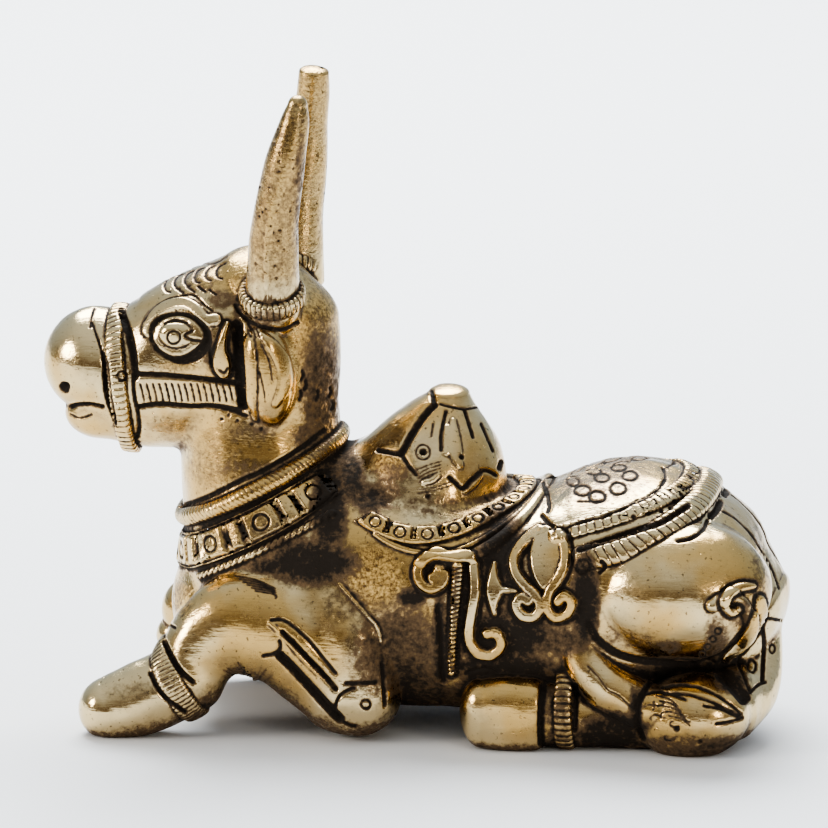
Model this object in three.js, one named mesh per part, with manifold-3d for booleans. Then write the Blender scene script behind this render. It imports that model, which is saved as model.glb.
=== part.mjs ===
// A reclining Nandi bull, cast in brass as one solid piece and chased by hand.
// The bull faces -X, its left side is -Y, and its legs rest on the plane z = 0.
// The free forms keep their proportions: their stations are in units of 1/110 of the figure's
// length, which makes them millimetres at the real size. Trim and carving have their own sizes.
import * as THREE from "three";
import { mergeVertices } from "three/addons/utils/BufferGeometryUtils.js";
import Module from "manifold-3d";

const wasm = await Module();
wasm.setup();

// Driving dimensions, in millimetres.
const figureLength = 110;
const ropeRadius = 1.35; // the thick cord of the collar
const collarBandWidth = 5.2; // the collar's row of plates
const collarBandLift = 0.9; // how far those plates stand off the neck
const platePitch = 8; // from one plate to the next, round the neck
const reliefHeight = 0.9; // scrolls and pendants over the flank
const petalGroove = 0.9; // depth of the grooves that part the petals of the hump

const unit = figureLength / 110;
const { left: LEFT, right: RIGHT } = { left: -1, right: 1 };
const Y = new THREE.Vector3(0, 1, 0);
const Z = new THREE.Vector3(0, 0, 1);

// Turns a closed geometry into a manifold solid.
function solid(geometry) {
  const bare = geometry.index ? geometry.toNonIndexed() : geometry.clone();
  bare.deleteAttribute("normal");
  bare.deleteAttribute("uv");
  const merged = mergeVertices(bare, 1e-4);
  return new wasm.Manifold(
    new wasm.Mesh({
      numProp: 3,
      vertProperties: merged.attributes.position.array,
      triVerts: new Uint32Array(merged.index.array),
    }),
  );
}

const joined = (solids) => solids.reduce((whole, next) => whole.add(next));

// A point on a superellipse of half axes a and b: power 2 is an ellipse, more is boxier.
function sectionPoint(a, b, power, angle) {
  const bend = (v) => Math.sign(v) * Math.abs(v) ** (2 / power);
  return [a * bend(Math.cos(angle)), b * bend(Math.sin(angle))];
}

// A skin swept along frames { centre, across, up, a, b }, with domed ends unless it is closed.
function sweep(frames, { sides = 10, power = 2, dome = 1, domeRings = [45], closed = false } = {}) {
  const ringAt = ({ centre, across, up, a, b }, offset, shrink) =>
    Array.from({ length: sides }, (_, k) => {
      const [u, v] = sectionPoint(a * shrink, b * shrink, power, (2 * Math.PI * k) / sides);
      return centre.clone().add(offset).addScaledVector(across, u).addScaledVector(up, v);
    });
  const still = new THREE.Vector3();
  const rings = frames.map((frame) => ringAt(frame, still, 1));
  if (closed) return skin([...rings, rings[0]], null, null);
  const outward = ({ across, up }) => across.clone().cross(up);
  const capAt = (frame, sign) => {
    const reach = outward(frame).multiplyScalar(sign * Math.min(frame.a, frame.b) * dome);
    const angles = domeRings.map(THREE.MathUtils.degToRad);
    return {
      slices: angles.map((t) => ringAt(frame, reach.clone().multiplyScalar(Math.sin(t)), Math.cos(t))),
      pole: frame.centre.clone().add(reach),
    };
  };
  const start = capAt(frames[0], -1);
  const end = capAt(frames[frames.length - 1], 1);
  return skin([...start.slices.reverse(), ...rings, ...end.slices], start.pole, end.pole);
}

// A limb through stations [x, y, z, half width, half depth]; its sections may all stay level.
function limb(stations, { level = false, ...shape } = {}) {
  const rows = stations.map((row) => row.map((v) => v * unit));
  const centres = rows.map(([x, y, z]) => new THREE.Vector3(x, y, z));
  const frames = rows.map((row, i) => {
    const before = centres[Math.max(0, i - 1)];
    const after = centres[Math.min(rows.length - 1, i + 1)];
    const tangent = level ? Z.clone() : after.clone().sub(before).normalize();
    const across = Y.clone().addScaledVector(tangent, -Y.dot(tangent)).normalize();
    return { centre: centres[i], across, up: tangent.clone().cross(across), a: row[3], b: row[4] };
  });
  return sweep(frames, shape);
}

// A closed skin over rings of points, from one pole to the other or back to its own start.
function skin(rings, firstPole, lastPole) {
  const sides = rings[0].length;
  const points = rings.flat();
  const index = [];
  const at = (ring, k) => ring * sides + (k % sides);
  for (let k = 0; k < sides; k++)
    for (let r = 0; r + 1 < rings.length; r++) {
      index.push(at(r, k), at(r, k + 1), at(r + 1, k));
      index.push(at(r, k + 1), at(r + 1, k + 1), at(r + 1, k));
    }
  if (firstPole) {
    const [start, end] = [points.push(firstPole) - 1, points.push(lastPole) - 1];
    for (let k = 0; k < sides; k++) {
      index.push(start, at(0, k + 1), at(0, k));
      index.push(end, at(rings.length - 1, k), at(rings.length - 1, k + 1));
    }
  }
  return new THREE.BufferGeometry().setFromPoints(points).setIndex(index);
}

// An ellipsoid at a place, turned about Y and then Z by degrees.
function ellipsoid([x, y, z], [a, b, c], { pitch = 0, yaw = 0, across = 14, around = 10 } = {}) {
  const { degToRad } = THREE.MathUtils;
  return new THREE.SphereGeometry(1, across, around)
    .rotateX(Math.PI / 2)
    .scale(a * unit, b * unit, c * unit)
    .rotateY(degToRad(pitch))
    .rotateZ(degToRad(yaw))
    .translate(x * unit, y * unit, z * unit);
}

// The barrel of the body, from the chest to the rump.
const trunk = () =>
  limb(
    [
      [-27, 0, 18, 14, 12],
      [-17, 0, 20, 17.2, 15.6],
      [-4, 0, 20, 18.8, 17.6],
      [10, 0, 18.6, 19.4, 16.2],
      [20, 0, 19, 19.8, 15.6],
      [32, 0, 21, 20.4, 17.5],
      [40, 0, 19.4, 18.8, 15.4],
      [46, 0, 16.4, 14, 12],
      [50.4, 0, 14.4, 9.4, 9],
    ],
    { sides: 16, power: 2.5, dome: 0.34 },
  );

const neck = () =>
  limb(
    [
      [-19, 0, 20, 16.5, 14.4],
      [-21, 0, 30, 14.7, 13.4],
      [-22.6, 0, 38, 12.3, 12],
      [-22.8, 0, 46, 10.9, 11.4],
      [-21.4, 0, 54, 10.4, 10.4],
      [-20.8, 0, 59.5, 9.4, 9.4],
    ],
    { sides: 12, dome: 0.6 },
  );

const head = () =>
  limb(
    [
      [-48.5, 0, 51.4, 6.2, 6.2],
      [-44, 0, 50.1, 7.8, 9.8],
      [-38.4, 0, 50.2, 8.9, 11.4],
      [-31.7, 0, 52.5, 10, 12.4],
      [-25.7, 0, 56.2, 10.6, 11.8],
      [-21.8, 0, 59.2, 9.4, 10.8],
    ],
    { sides: 14, power: 2.2, dome: 0.9 },
  );

const muzzle = () => ellipsoid([-47.1, 0, 51.6], [7.7, 7.6, 7.9], { across: 12, around: 7 });
const chin = () => ellipsoid([-46, 0, 43.9], [5.8, 5.8, 3.9], { across: 9, around: 6 });

// The hump is a bud with a flat top that leans back a little.
const hump = () =>
  limb(
    [
      [1.2, 0, 30, 13.4, 12.6],
      [1.4, 0, 35, 12.3, 12],
      [1.8, 0, 38.6, 11, 11.1],
      [2.5, 0, 42, 8.9, 9.2],
      [3.4, 0, 45.6, 5.9, 5.9],
      [4.8, 0, 48.4, 3.5, 3.1],
    ],
    { level: true, sides: 12, dome: 0.2, domeRings: [] },
  );

const horn = (side) =>
  limb(
    side === LEFT
      ? [
          [-19.9, -8.6, 62.5, 4, 4],
          [-19.7, -9.3, 71.4, 3.6, 3.7],
          [-19.1, -10.2, 77, 3.2, 3.3],
          [-17.6, -11, 85.3, 2.8, 2.9],
          [-16.3, -11, 91, 2.1, 2.2],
          [-15.9, -10.8, 93.4, 1.5, 1.5],
        ]
      : [
          [-18.9, 8.6, 62.5, 4, 4],
          [-18.5, 9.6, 71.4, 3.6, 3.4],
          [-17.6, 10.6, 80, 3.1, 2.9],
          [-16.9, 10.9, 88, 2.7, 2.5],
          [-16.5, 10.4, 93.4, 2.1, 2.2],
        ],
    { sides: 8, dome: side === LEFT ? 1 : 0.35 },
  );

const ear = (side) =>
  ellipsoid([-20.3, side * 11.6, 53.2], [3.4, 2.8, 7.2], {
    pitch: -6,
    yaw: side * -10,
    across: 9,
    around: 7,
  });

// The left foreleg is raised on its elbow and plants its hoof in front.
const leftForeleg = () => [
  limb([
    [-12, -13, 20, 6.6, 6.6],
    [-7.6, -14.4, 14.4, 7.2, 6.8],
    [-6.5, -15.8, 6.8, 6.4, 6.6],
  ]),
  limb([
    [-9.4, -15.6, 7, 6, 6],
    [-16.6, -15.6, 14.8, 6.6, 7.8],
    [-23.4, -15.6, 16.2, 6.2, 8],
    [-28.4, -16.2, 13.5, 5.4, 6.3],
    [-31.3, -17, 8.7, 4.8, 5.2],
  ]),
  limb([
    [-31, -17, 8.6, 5, 5.4],
    [-37.4, -17.8, 5.5, 5.2, 5.5],
    [-42.5, -18.4, 3.7, 4.7, 4.8],
  ]),
];

// The right foreleg is folded flat, knee forward, with its hoof tucked back under it.
const rightForeleg = () =>
  [
    [
      [-12, 12, 20, 7, 7],
      [-8, 14, 14, 7.6, 7],
      [-9, 15, 8, 6, 5.6],
    ],
    [
      [-9, 15, 9, 5.4, 5.6],
      [-22, 14, 11.2, 5.2, 5.6],
      [-35, 12, 11.4, 4.4, 4.6],
    ],
    [
      [-36.6, 12.4, 7.2, 3.8, 3.6],
      [-22, 15, 3.9, 4.2, 4],
      [-12, 16.5, 3.8, 4.6, 4.3],
    ],
  ].map((stations) => limb(stations, { sides: 8 }));

// Each hind leg lies folded along the ground, its hoof under the flank.
const hindLeg = (side) => [
  side === LEFT
    ? ellipsoid([40.2, -12.2, 23], [13.9, 11.2, 10.4], { pitch: -4, across: 13, around: 9 })
    : ellipsoid([38, 9.6, 21.8], [13.2, 11.2, 9.4], { pitch: -4, across: 11, around: 8 }),
  limb(
    [
      [25.6, side * 16, 17.6, 3.6, 3.4],
      [29.6, side * 18.6, 10.8, 3.8, 3.6],
      [36.8, side * 18.6, 6.8, 3.8, 3.6],
    ],
    { sides: 8 },
  ),
  limb(
    [
      [38, side * 15, 4.3, 4.6, 4.6],
      [28, side * 16, 4.8, 4.8, 4.8],
      [20, side * 17, 5.2, 5, 5],
    ],
    { sides: 8 },
  ),
  limb(
    [
      [19.4, side * 17.4, 5.2, 5, 5.6],
      [15.6, side * 17.6, 5.2, 5.2, 5.8],
      [12.6, side * 17.6, 5.1, 4.8, 5.2],
    ],
    { sides: side === LEFT ? 10 : 8, power: 2.8, dome: 0.75 },
  ),
];

// The tail comes down the rump and lays its tuft forward beside the left haunch.
const tail = () => [
  limb([
    [45.5, 0, 30, 2.4, 2.2],
    [49.8, 0, 23, 2.6, 2.4],
    [51.2, -1.5, 14, 3.2, 3],
    [50, -7, 7.8, 4.2, 4.6],
    [47.4, -12.4, 6, 5.4, 5.6],
  ]),
  ellipsoid([43, -16.6, 5.2], [8.6, 6.6, 6.3], { pitch: -8, across: 12, around: 7 }),
];

const body = joined(
  [
    trunk(),
    neck(),
    head(),
    muzzle(),
    chin(),
    hump(),
    ellipsoid([-28.2, 0, 16], [7.7, 12, 10], { across: 10, around: 7 }),
    ellipsoid([-7.5, 0, 34.4], [7.8, 11, 5.9], { across: 10, around: 6 }),
    ...leftForeleg(),
    ...rightForeleg(),
    ...tail(),
    ...[LEFT, RIGHT].flatMap((side) => [horn(side), ear(side), ...hindLeg(side)]),
  ].map(solid),
);

function meshOf(manifold) {
  const { numProp, vertProperties, triVerts } = manifold.getMesh();
  const positions = new Float32Array((vertProperties.length / numProp) * 3);
  for (let i = 0; i * numProp < vertProperties.length; i++)
    positions.set(vertProperties.subarray(i * numProp, i * numProp + 3), i * 3);
  const geometry = new THREE.BufferGeometry();
  geometry.setAttribute("position", new THREE.BufferAttribute(positions, 3));
  geometry.setIndex(new THREE.BufferAttribute(triVerts, 1));
  geometry.computeVertexNormals();
  return geometry;
}

// Rays that find the body's surface, so that the trim can be laid on it.
const bodySkin = new THREE.Mesh(meshOf(body), new THREE.MeshBasicMaterial({ side: THREE.DoubleSide }));
const caster = new THREE.Raycaster();

function laid(from, way) {
  caster.set(new THREE.Vector3(...from).multiplyScalar(unit), way);
  const [first] = caster.intersectObject(bodySkin);
  return { point: first.point, normal: first.face.normal.clone() };
}

const onSide = (side) => ([x, z]) => laid([x, side * 60, z], new THREE.Vector3(0, -side, 0));
const onTop = ([x, y]) => laid([x, y, 90], new THREE.Vector3(0, 0, -1));

// Places round the body, in a plane tilted about Y by degrees, seen from a centre inside it.
function around([x, y, z], tilt, count, height = 0) {
  const t = THREE.MathUtils.degToRad(tilt);
  const along = new THREE.Vector3(Math.cos(t), 0, Math.sin(t));
  const centre = new THREE.Vector3(x, y, z).addScaledVector(along.clone().cross(Y), height);
  return Array.from({ length: count }, (_, i) => {
    const a = (2 * Math.PI * i) / count;
    const way = along.clone().multiplyScalar(Math.cos(a)).addScaledVector(Y, Math.sin(a));
    return laid(centre.toArray(), way);
  });
}

// A band or cord along laid places; its section stands on the surface.
function band(places, halfWidth, lift, { closed = false, ...shape } = {}) {
  const last = places.length - 1;
  const frames = places.map(({ point, normal }, i) => {
    const before = places[closed && i === 0 ? last : Math.max(0, i - 1)].point;
    const after = places[closed && i === last ? 0 : Math.min(last, i + 1)].point;
    const tangent = after.clone().sub(before).normalize();
    const up = normal.clone().addScaledVector(tangent, -normal.dot(tangent)).normalize();
    const across = up.clone().cross(tangent);
    const b = typeof lift === "function" ? lift(i) : lift;
    return { centre: point, across, up, a: halfWidth, b };
  });
  return solid(sweep(frames, { sides: 5, closed, dome: 0.4, domeRings: [], ...shape }));
}

// A spiral that starts at an angle and winds in towards its centre.
function spiral([x, z], radius, from, turn, { inner = 0.35, count = 6 } = {}) {
  return Array.from({ length: count }, (_, i) => {
    const t = i / (count - 1);
    const a = THREE.MathUtils.degToRad(from + turn * t);
    const r = radius * (1 - (1 - inner) * t);
    return [x + r * Math.cos(a), z + r * Math.sin(a)];
  });
}

// Part of an oval in plan, angles from the tail end.
function oval([x, halfLength, halfWidth], from, to, count, power = 2.3) {
  return Array.from({ length: count }, (_, i) => {
    const a = THREE.MathUtils.degToRad(from + ((to - from) * i) / (count - 1));
    const [u, v] = sectionPoint(halfLength, halfWidth, power, a);
    return [x + u, v];
  });
}

const raised = [];
const chased = [];

// The collar: a thick cord and a row of plates below it.
const collar = [-22.5, 0, 35.5];
const collarTilt = 28;
const cord = around(collar, collarTilt, 16);
raised.push(band(cord, ropeRadius, ropeRadius, { closed: true }));
const girth = cord.reduce((sum, { point }, i) => sum + point.distanceTo(cord.at(i - 1).point), 0);
const plateRow = around(collar, collarTilt, 3 * Math.round(girth / platePitch), -4.6);
const plateLift = (i) => (i % 3 === 2 ? collarBandLift * 0.3 : collarBandLift);
raised.push(band(plateRow, collarBandWidth / 2, plateLift, { closed: true, power: 4, sides: 6 }));

// The halter: a band round the nose, a strap along each cheek.
const noseBand = around([-42.7, 0, 50], 95, 12);
raised.push(band(noseBand, 1.1, 1.2, { closed: true }));

const both = (make) => [LEFT, RIGHT].forEach((side) => make(side));

both((side) => {
  const lay = onSide(side);
  const draw = (list, stations, halfWidth, lift, shape) =>
    list.push(band(stations.map(lay), halfWidth, lift, shape));
  draw(raised, [[-41.4, 49.4], [-33, 49.8], [-26, 50.2]], 1.4, 0.7);
  // The eye with its heavy upper lid, and a drop between eye and ear.
  const eye = onSide(side)([-33.7, 57.9]).point.divideScalar(unit);
  raised.push(solid(ellipsoid([eye.x, eye.y, eye.z], [3.3, 1.5, 2.3], { across: 8, around: 6 })));
  draw(raised, [[-38.6, 57.6], [-37.3, 60.9], [-33.8, 62.6], [-30.4, 61], [-29, 59]], 0.8, 0.8);
  if (side === LEFT) draw(raised, [[-27, 60], [-27.1, 56], [-27, 53.2]], 1.1, 1.1);
  // The nostril and the mouth.
  draw(chased, [[-51.5, 49.4], [-50.5, 49]], 0.9, 1.4);
  draw(chased, [[-50.4, 46.4], [-48, 46.2], [-45.4, 46.6]], 0.45, 0.8);
});

// A ring of cord round the root of each horn.
both((side) => {
  const root = new THREE.TorusGeometry(1, 0.17, 4, 8)
    .scale(4.9 * unit, 5 * unit, 4.6 * unit)
    .rotateX(THREE.MathUtils.degToRad(side * -24))
    .translate(-20 * unit, side * 8.8 * unit, 63.6 * unit);
  raised.push(solid(root));
});

// The petals of the bud are parted by grooves from its top.
both((side) => {
  const part = (stations) => chased.push(band(stations.map(onSide(side)), 0.5, petalGroove));
  part([[2.8, 46.9], [1, 44.3], [-0.7, 41.4], [1.6, 38.2]]);
  part([[6.9, 46.2], [9.1, 43.2], [10.5, 39.3]]);
});

// Saddle: bands round the foot of the hump, laid on the back.
raised.push(band(oval([1.2, 15.2, 16.2], -114, 114, 13, 2).map(onTop), 1.2, 0.7));
raised.push(band(oval([4.5, 14.6, 17.8], -90, 90, 11, 2.6).map(onTop), 1, 0.8));

// The cloth over the rump: its border and a thick twisted rope outside it.
raised.push(band(oval([26, 14.4, 15.8], -100, 100, 11).map(onTop), 1.5, 0.7));
raised.push(band(oval([28, 15, 18.9], -92, 92, 11, 2.6).map(onTop), 1.5, 1.2));

// Strap and scroll on each flank, with a second scroll and a pendant on the left one.
both((side) => {
  const lay = onSide(side);
  const draw = (stations, halfWidth, shape) =>
    raised.push(band(stations.map(lay), halfWidth, reliefHeight, shape));
  draw([[8.8, 26.6], [8.4, 20], [8, 11]], 0.85);
  if (side === RIGHT) return;
  draw([[11.4, 27.2], [11.2, 22], [11, 18], ...spiral([12.6, 16.6], 1.9, 190, 300)], 0.75);
  draw([[11.6, 27.4], [8, 27.6], ...spiral([5, 25.7], 1.7, 90, 230)], 0.7);
  draw([[22, 31.5], [21.8, 29], [21.7, 26.4]], 1.9, { sides: 7 });
  draw([[19.4, 32.6], [18.4, 29.6], [19.4, 26], ...spiral([19.3, 22.3], 1.9, 40, -270)], 0.65);
  draw([[24.6, 31.2], [24.4, 27], [22.4, 24.4], ...spiral([23.8, 22], 1.9, 150, 270)], 0.65);
  draw([[14.8, 25.8], [14.8, 24.3], [14.8, 22.9]], 0.9);
});

// The tail's tassel cord winds over the left haunch.
const tailCord = [[46.6, 23.4], [49, 24.6], [50.8, 22.8], [51.4, 20], [50, 16.6], [46, 13.8]];
raised.push(band(tailCord.map(onSide(LEFT)), 1, 1.2));

// Bands round the left pastern and the hind pasterns.
const pastern = around([-32.6, -17, 8.6], -60, 8);
raised.push(band(pastern, 1.3, 0.8, { closed: true }));
both((side) => {
  const hind = new THREE.TorusGeometry(5.2, 0.9, 4, 8)
    .rotateY(Math.PI / 2)
    .scale(1.5, 1, 1.08)
    .scale(unit, unit, unit)
    .translate(24.6 * unit, side * 16.4 * unit, 5.9 * unit);
  raised.push(solid(hind));
});

// Two channels along the left foreleg and a round boss at its elbow.
const leftSide = onSide(LEFT);
chased.push(band([[-18.5, 18], [-13.6, 13.8], [-8.6, 8]].map(leftSide), 0.55, 1, { sides: 4 }));
chased.push(band([[-17.4, 14.6], [-13.2, 10], [-9.4, 4.4]].map(leftSide), 0.7, 1.1, { sides: 4 }));

// Everything under the resting plane is cut off, which leaves flat soles.
const groundSpan = 4 * figureLength;
const below = new THREE.BoxGeometry(groundSpan, groundSpan, figureLength);
const ground = solid(below.translate(0, 0, -figureLength / 2));
const figure = joined([body, ...raised]).subtract(joined(chased)).subtract(ground);

const brass = new THREE.MeshStandardMaterial({ color: 0xb08d57, roughness: 0.3, metalness: 1 });
const nandi = new THREE.Mesh(meshOf(figure), brass);
nandi.name = "nandi_bull";

// The origin lies under the middle of the figure, on the resting plane.
const middle = new THREE.Box3().setFromObject(nandi).getCenter(new THREE.Vector3());
nandi.position.set(-middle.x, -middle.y, 0);

const group = new THREE.Group();
group.add(nandi);
export default group;
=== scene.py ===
"""A reclining Nandi bull in cast and chased brass: its look, as fine mesh and material over the fixed solid.

The forms are the solid's own, in millimetres, joined as one smooth field, and the chasing is carved into it.
"""
import math
from concurrent.futures import ThreadPoolExecutor
from functools import partial

import bpy
import numpy as np
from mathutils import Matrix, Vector


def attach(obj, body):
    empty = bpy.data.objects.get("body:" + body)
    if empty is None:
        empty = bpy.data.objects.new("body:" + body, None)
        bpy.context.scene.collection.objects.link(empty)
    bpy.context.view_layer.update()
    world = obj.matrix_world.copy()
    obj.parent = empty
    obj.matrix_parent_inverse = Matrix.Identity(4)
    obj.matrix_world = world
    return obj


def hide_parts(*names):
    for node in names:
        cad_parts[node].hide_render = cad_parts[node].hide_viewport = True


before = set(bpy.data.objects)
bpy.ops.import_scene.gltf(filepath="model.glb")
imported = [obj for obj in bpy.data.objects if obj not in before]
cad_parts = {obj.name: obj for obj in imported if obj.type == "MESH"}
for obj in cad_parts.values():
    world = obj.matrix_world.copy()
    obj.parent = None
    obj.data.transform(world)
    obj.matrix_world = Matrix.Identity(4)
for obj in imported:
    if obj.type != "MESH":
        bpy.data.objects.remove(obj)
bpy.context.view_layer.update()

LEFT, RIGHT = -1, 1
SOLID_SHIFT = np.array([-0.1981, 0.1758, 0.0])  # from the forms' own origin to the middle of the solid
PITCH = 0.2  # spacing of the fine mesh
FACES_IN_ALL = 760000
MM = 0.001

# The photograph's view: its scale, and the frame's origin in it.
VIEW_AZIMUTH, VIEW_ELEVATION = math.radians(8), math.radians(14)
MM_PER_PIXEL = 0.1465
ORIGIN_U, ORIGIN_V = 416, 712
PHOTO = 828

rng = np.random.default_rng(7)


def unit_rows(v):
    return v / np.maximum(np.linalg.norm(v, axis=-1, keepdims=True), 1e-9)


def smooth_rows(rows, steps):
    """More stations between the given ones, on a smooth curve through them all."""
    rows = np.asarray(rows, float)
    out = []
    for i in range(len(rows) - 1):
        a, b, c, d = rows[max(i - 1, 0)], rows[i], rows[i + 1], rows[min(i + 2, len(rows) - 1)]
        square, cube = 2 * a - 5 * b + 4 * c - d, 3 * b - a - 3 * c + d
        for t in np.arange(steps) / steps:
            out.append(0.5 * (2 * b + (c - a) * t + square * t**2 + cube * t**3))
    return np.array(out + [rows[-1]])


def smooth_union(a, b, k):
    h = np.maximum(k - np.abs(a - b), 0) / k
    return np.minimum(a, b) - h * h * k / 4


REACH = 3.2  # how far from a form its distance is worked out
TRIM_REACH = 1.7
RUN = 5  # segments looked at together


class Sweep:
    """A section of half axes a and b carried along centres; groove(s, u, v) is how far chasing lowers it."""

    def __init__(self, centres, across, up, a, b, power=2.0, dome=1.0, closed=False, groove=None, reach=None):
        if closed:
            centres, across, up, a, b = (np.concatenate([w, w[:1]]) for w in (centres, across, up, a, b))
        rows = (np.asarray(w, np.float32) for w in (centres, across, up, a, b))
        self.c, self.x, self.y, self.a, self.b = rows
        self.t = np.cross(self.x, self.y)
        self.power, self.closed, self.groove = power, closed, groove
        self.count = len(self.c) - 1
        self.e = self.c[1:] - self.c[:-1]
        self.long = np.maximum(np.linalg.norm(self.e, axis=1), 1e-4)
        self.s = np.concatenate([[0], np.cumsum(self.long)]).astype(np.float32)
        self.cap = np.maximum(np.minimum(self.a, self.b) * dome, 0.05)
        r = np.maximum(self.a, self.b)[:, None] + (REACH if reach is None else reach)
        self.lo, self.hi = (self.c - r).min(0), (self.c + r).max(0)
        self.runs = []
        for i in range(0, self.count, RUN):
            part = slice(i, i + RUN + 1)
            self.runs.append((i, (self.c[part] - r[part]).min(0), (self.c[part] + r[part]).max(0)))

    def nearest(self, p):
        """The segment whose section planes hold each point, where along it, and how far past an open end."""
        best = np.full(len(p), 1e9, np.float32)
        seg, at, past = np.zeros(len(p), np.int32), np.zeros(len(p), np.float32), np.zeros(len(p), np.float32)
        for first, lo, hi in self.runs:
            here = np.flatnonzero(np.all((p > lo) & (p < hi), axis=1))
            if not len(here):
                continue
            q, b, g, t0, w0 = p[here], best[here], seg[here], at[here], past[here]
            d = q - self.c[first]
            before = d @ self.t[first]
            for i in range(first, min(first + RUN, self.count)):
                d1 = q - self.c[i + 1]
                after = d1 @ self.t[i + 1]
                t = np.clip(before / np.maximum(before - after, 1e-6), 0, 1)
                hold = (before >= 0) & (after < 0)
                w = np.zeros(len(q), np.float32)
                if not self.closed and i == 0:
                    hold |= before < 0
                    w = np.where(before < 0, -before, w)
                    t = np.where(before < 0, 0, t)
                if not self.closed and i == self.count - 1:
                    over = (after >= 0) & (w == 0)
                    hold |= over
                    w = np.where(over, after, w)
                    t = np.where(over, 1, t)
                off = d - t[:, None] * self.e[i]
                r = np.where(hold, np.einsum("ij,ij->i", off, off), 1e9)
                m = r < b
                b[m], g[m], t0[m], w0[m] = r[m], i, t[m], w[m]
                d, before = d1, after
            best[here], seg[here], at[here], past[here] = b, g, t0, w0
        return best, seg, at, past

    def __call__(self, p):
        out = np.full(len(p), REACH, np.float32)
        best, seg, at, past = self.nearest(p)
        seen = best < 1e8
        p, seg, at, past = p[seen], seg[seen], at[seen], past[seen]
        mix = lambda w: w[seg] + (w[seg + 1] - w[seg]) * (at[:, None] if w.ndim > 1 else at)
        d = p - mix(self.c)
        u, v = np.einsum("ij,ij->i", d, mix(self.x)), np.einsum("ij,ij->i", d, mix(self.y))
        a, b, q = mix(self.a), mix(self.b), self.power
        gu, gv = np.maximum(np.abs(u) / a, 1e-4), np.maximum(np.abs(v) / b, 1e-4)
        g = (gu**q + gv**q) ** (1 / q)
        du, dv = (gu / g) ** (q - 1) / a, (gv / g) ** (q - 1) / b
        if self.closed:
            dist = (g - 1) / np.sqrt(du * du + dv * dv)
        else:
            cap = np.where(at < 0.5, self.cap[0], self.cap[-1])
            whole = np.sqrt(g * g + (past / cap) ** 2)
            k = np.sqrt((g / whole) ** 2 * (du * du + dv * dv) + (past / (cap * cap * whole)) ** 2)
            dist = (whole - 1) / k
        # A section that grows or shrinks along the limb is nearer than it looks in its own plane.
        more_a, more_b = self.a[seg + 1] - self.a[seg], self.b[seg + 1] - self.b[seg]
        grows = (more_a * gu**q + more_b * gv**q) / g**q / self.long[seg]
        dist = np.where(past > 0, dist, dist / np.sqrt(1 + np.clip(grows, -2, 2) ** 2))
        if self.groove is not None:
            dist = dist + self.groove(self.s[seg] + at * self.long[seg], u, v)
        out[seen] = dist
        return out


class Ellipsoid:
    def __init__(self, centre, radii, pitch=0, yaw=0):
        p, y = math.radians(pitch), math.radians(yaw)
        about_y = np.array([[math.cos(p), 0, math.sin(p)], [0, 1, 0], [-math.sin(p), 0, math.cos(p)]])
        about_z = np.array([[math.cos(y), -math.sin(y), 0], [math.sin(y), math.cos(y), 0], [0, 0, 1]])
        self.c, self.r = np.array(centre, np.float32), np.array(radii, np.float32)
        self.m = (about_z @ about_y).astype(np.float32)
        reach = np.sqrt(((self.m * self.r) ** 2).sum(1)) + REACH
        self.lo, self.hi = self.c - reach, self.c + reach

    def __call__(self, p):
        q = (p - self.c) @ self.m / self.r
        k0 = np.sqrt((q * q).sum(1))
        q /= self.r
        return k0 * (k0 - 1) / np.maximum(np.sqrt((q * q).sum(1)), 1e-6)


def limb(stations, steps=5, level=False, **shape):
    """A limb through stations [x, y, z, half width, half depth]."""
    rows = smooth_rows(stations, steps)
    c = rows[:, :3]
    tangent = np.tile([0.0, 0, 1], (len(c), 1))
    if not level:
        tangent = unit_rows(np.concatenate([c[1:], c[-1:]]) - np.concatenate([c[:1], c[:-1]]))
    y = np.array([0.0, 1, 0])
    across = unit_rows(y - tangent * (tangent @ y)[:, None])
    return Sweep(c, across, np.cross(tangent, across), rows[:, 3], rows[:, 4], **shape)


def field(forms, p):
    """Signed distance to all the forms, each joined to the ones before it over its own soft width."""
    f = np.full(len(p), REACH, np.float32)
    for form, soft in forms:
        near = np.all((p > form.lo) & (p < form.hi), axis=1)
        if near.any():
            f[near] = smooth_union(f[near], form(p[near]), soft)
    return f


def grounded(f, z, soft=0.35):
    """Everything under the resting plane is cut off, which leaves flat soles."""
    return -smooth_union(-f, z, soft)


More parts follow.
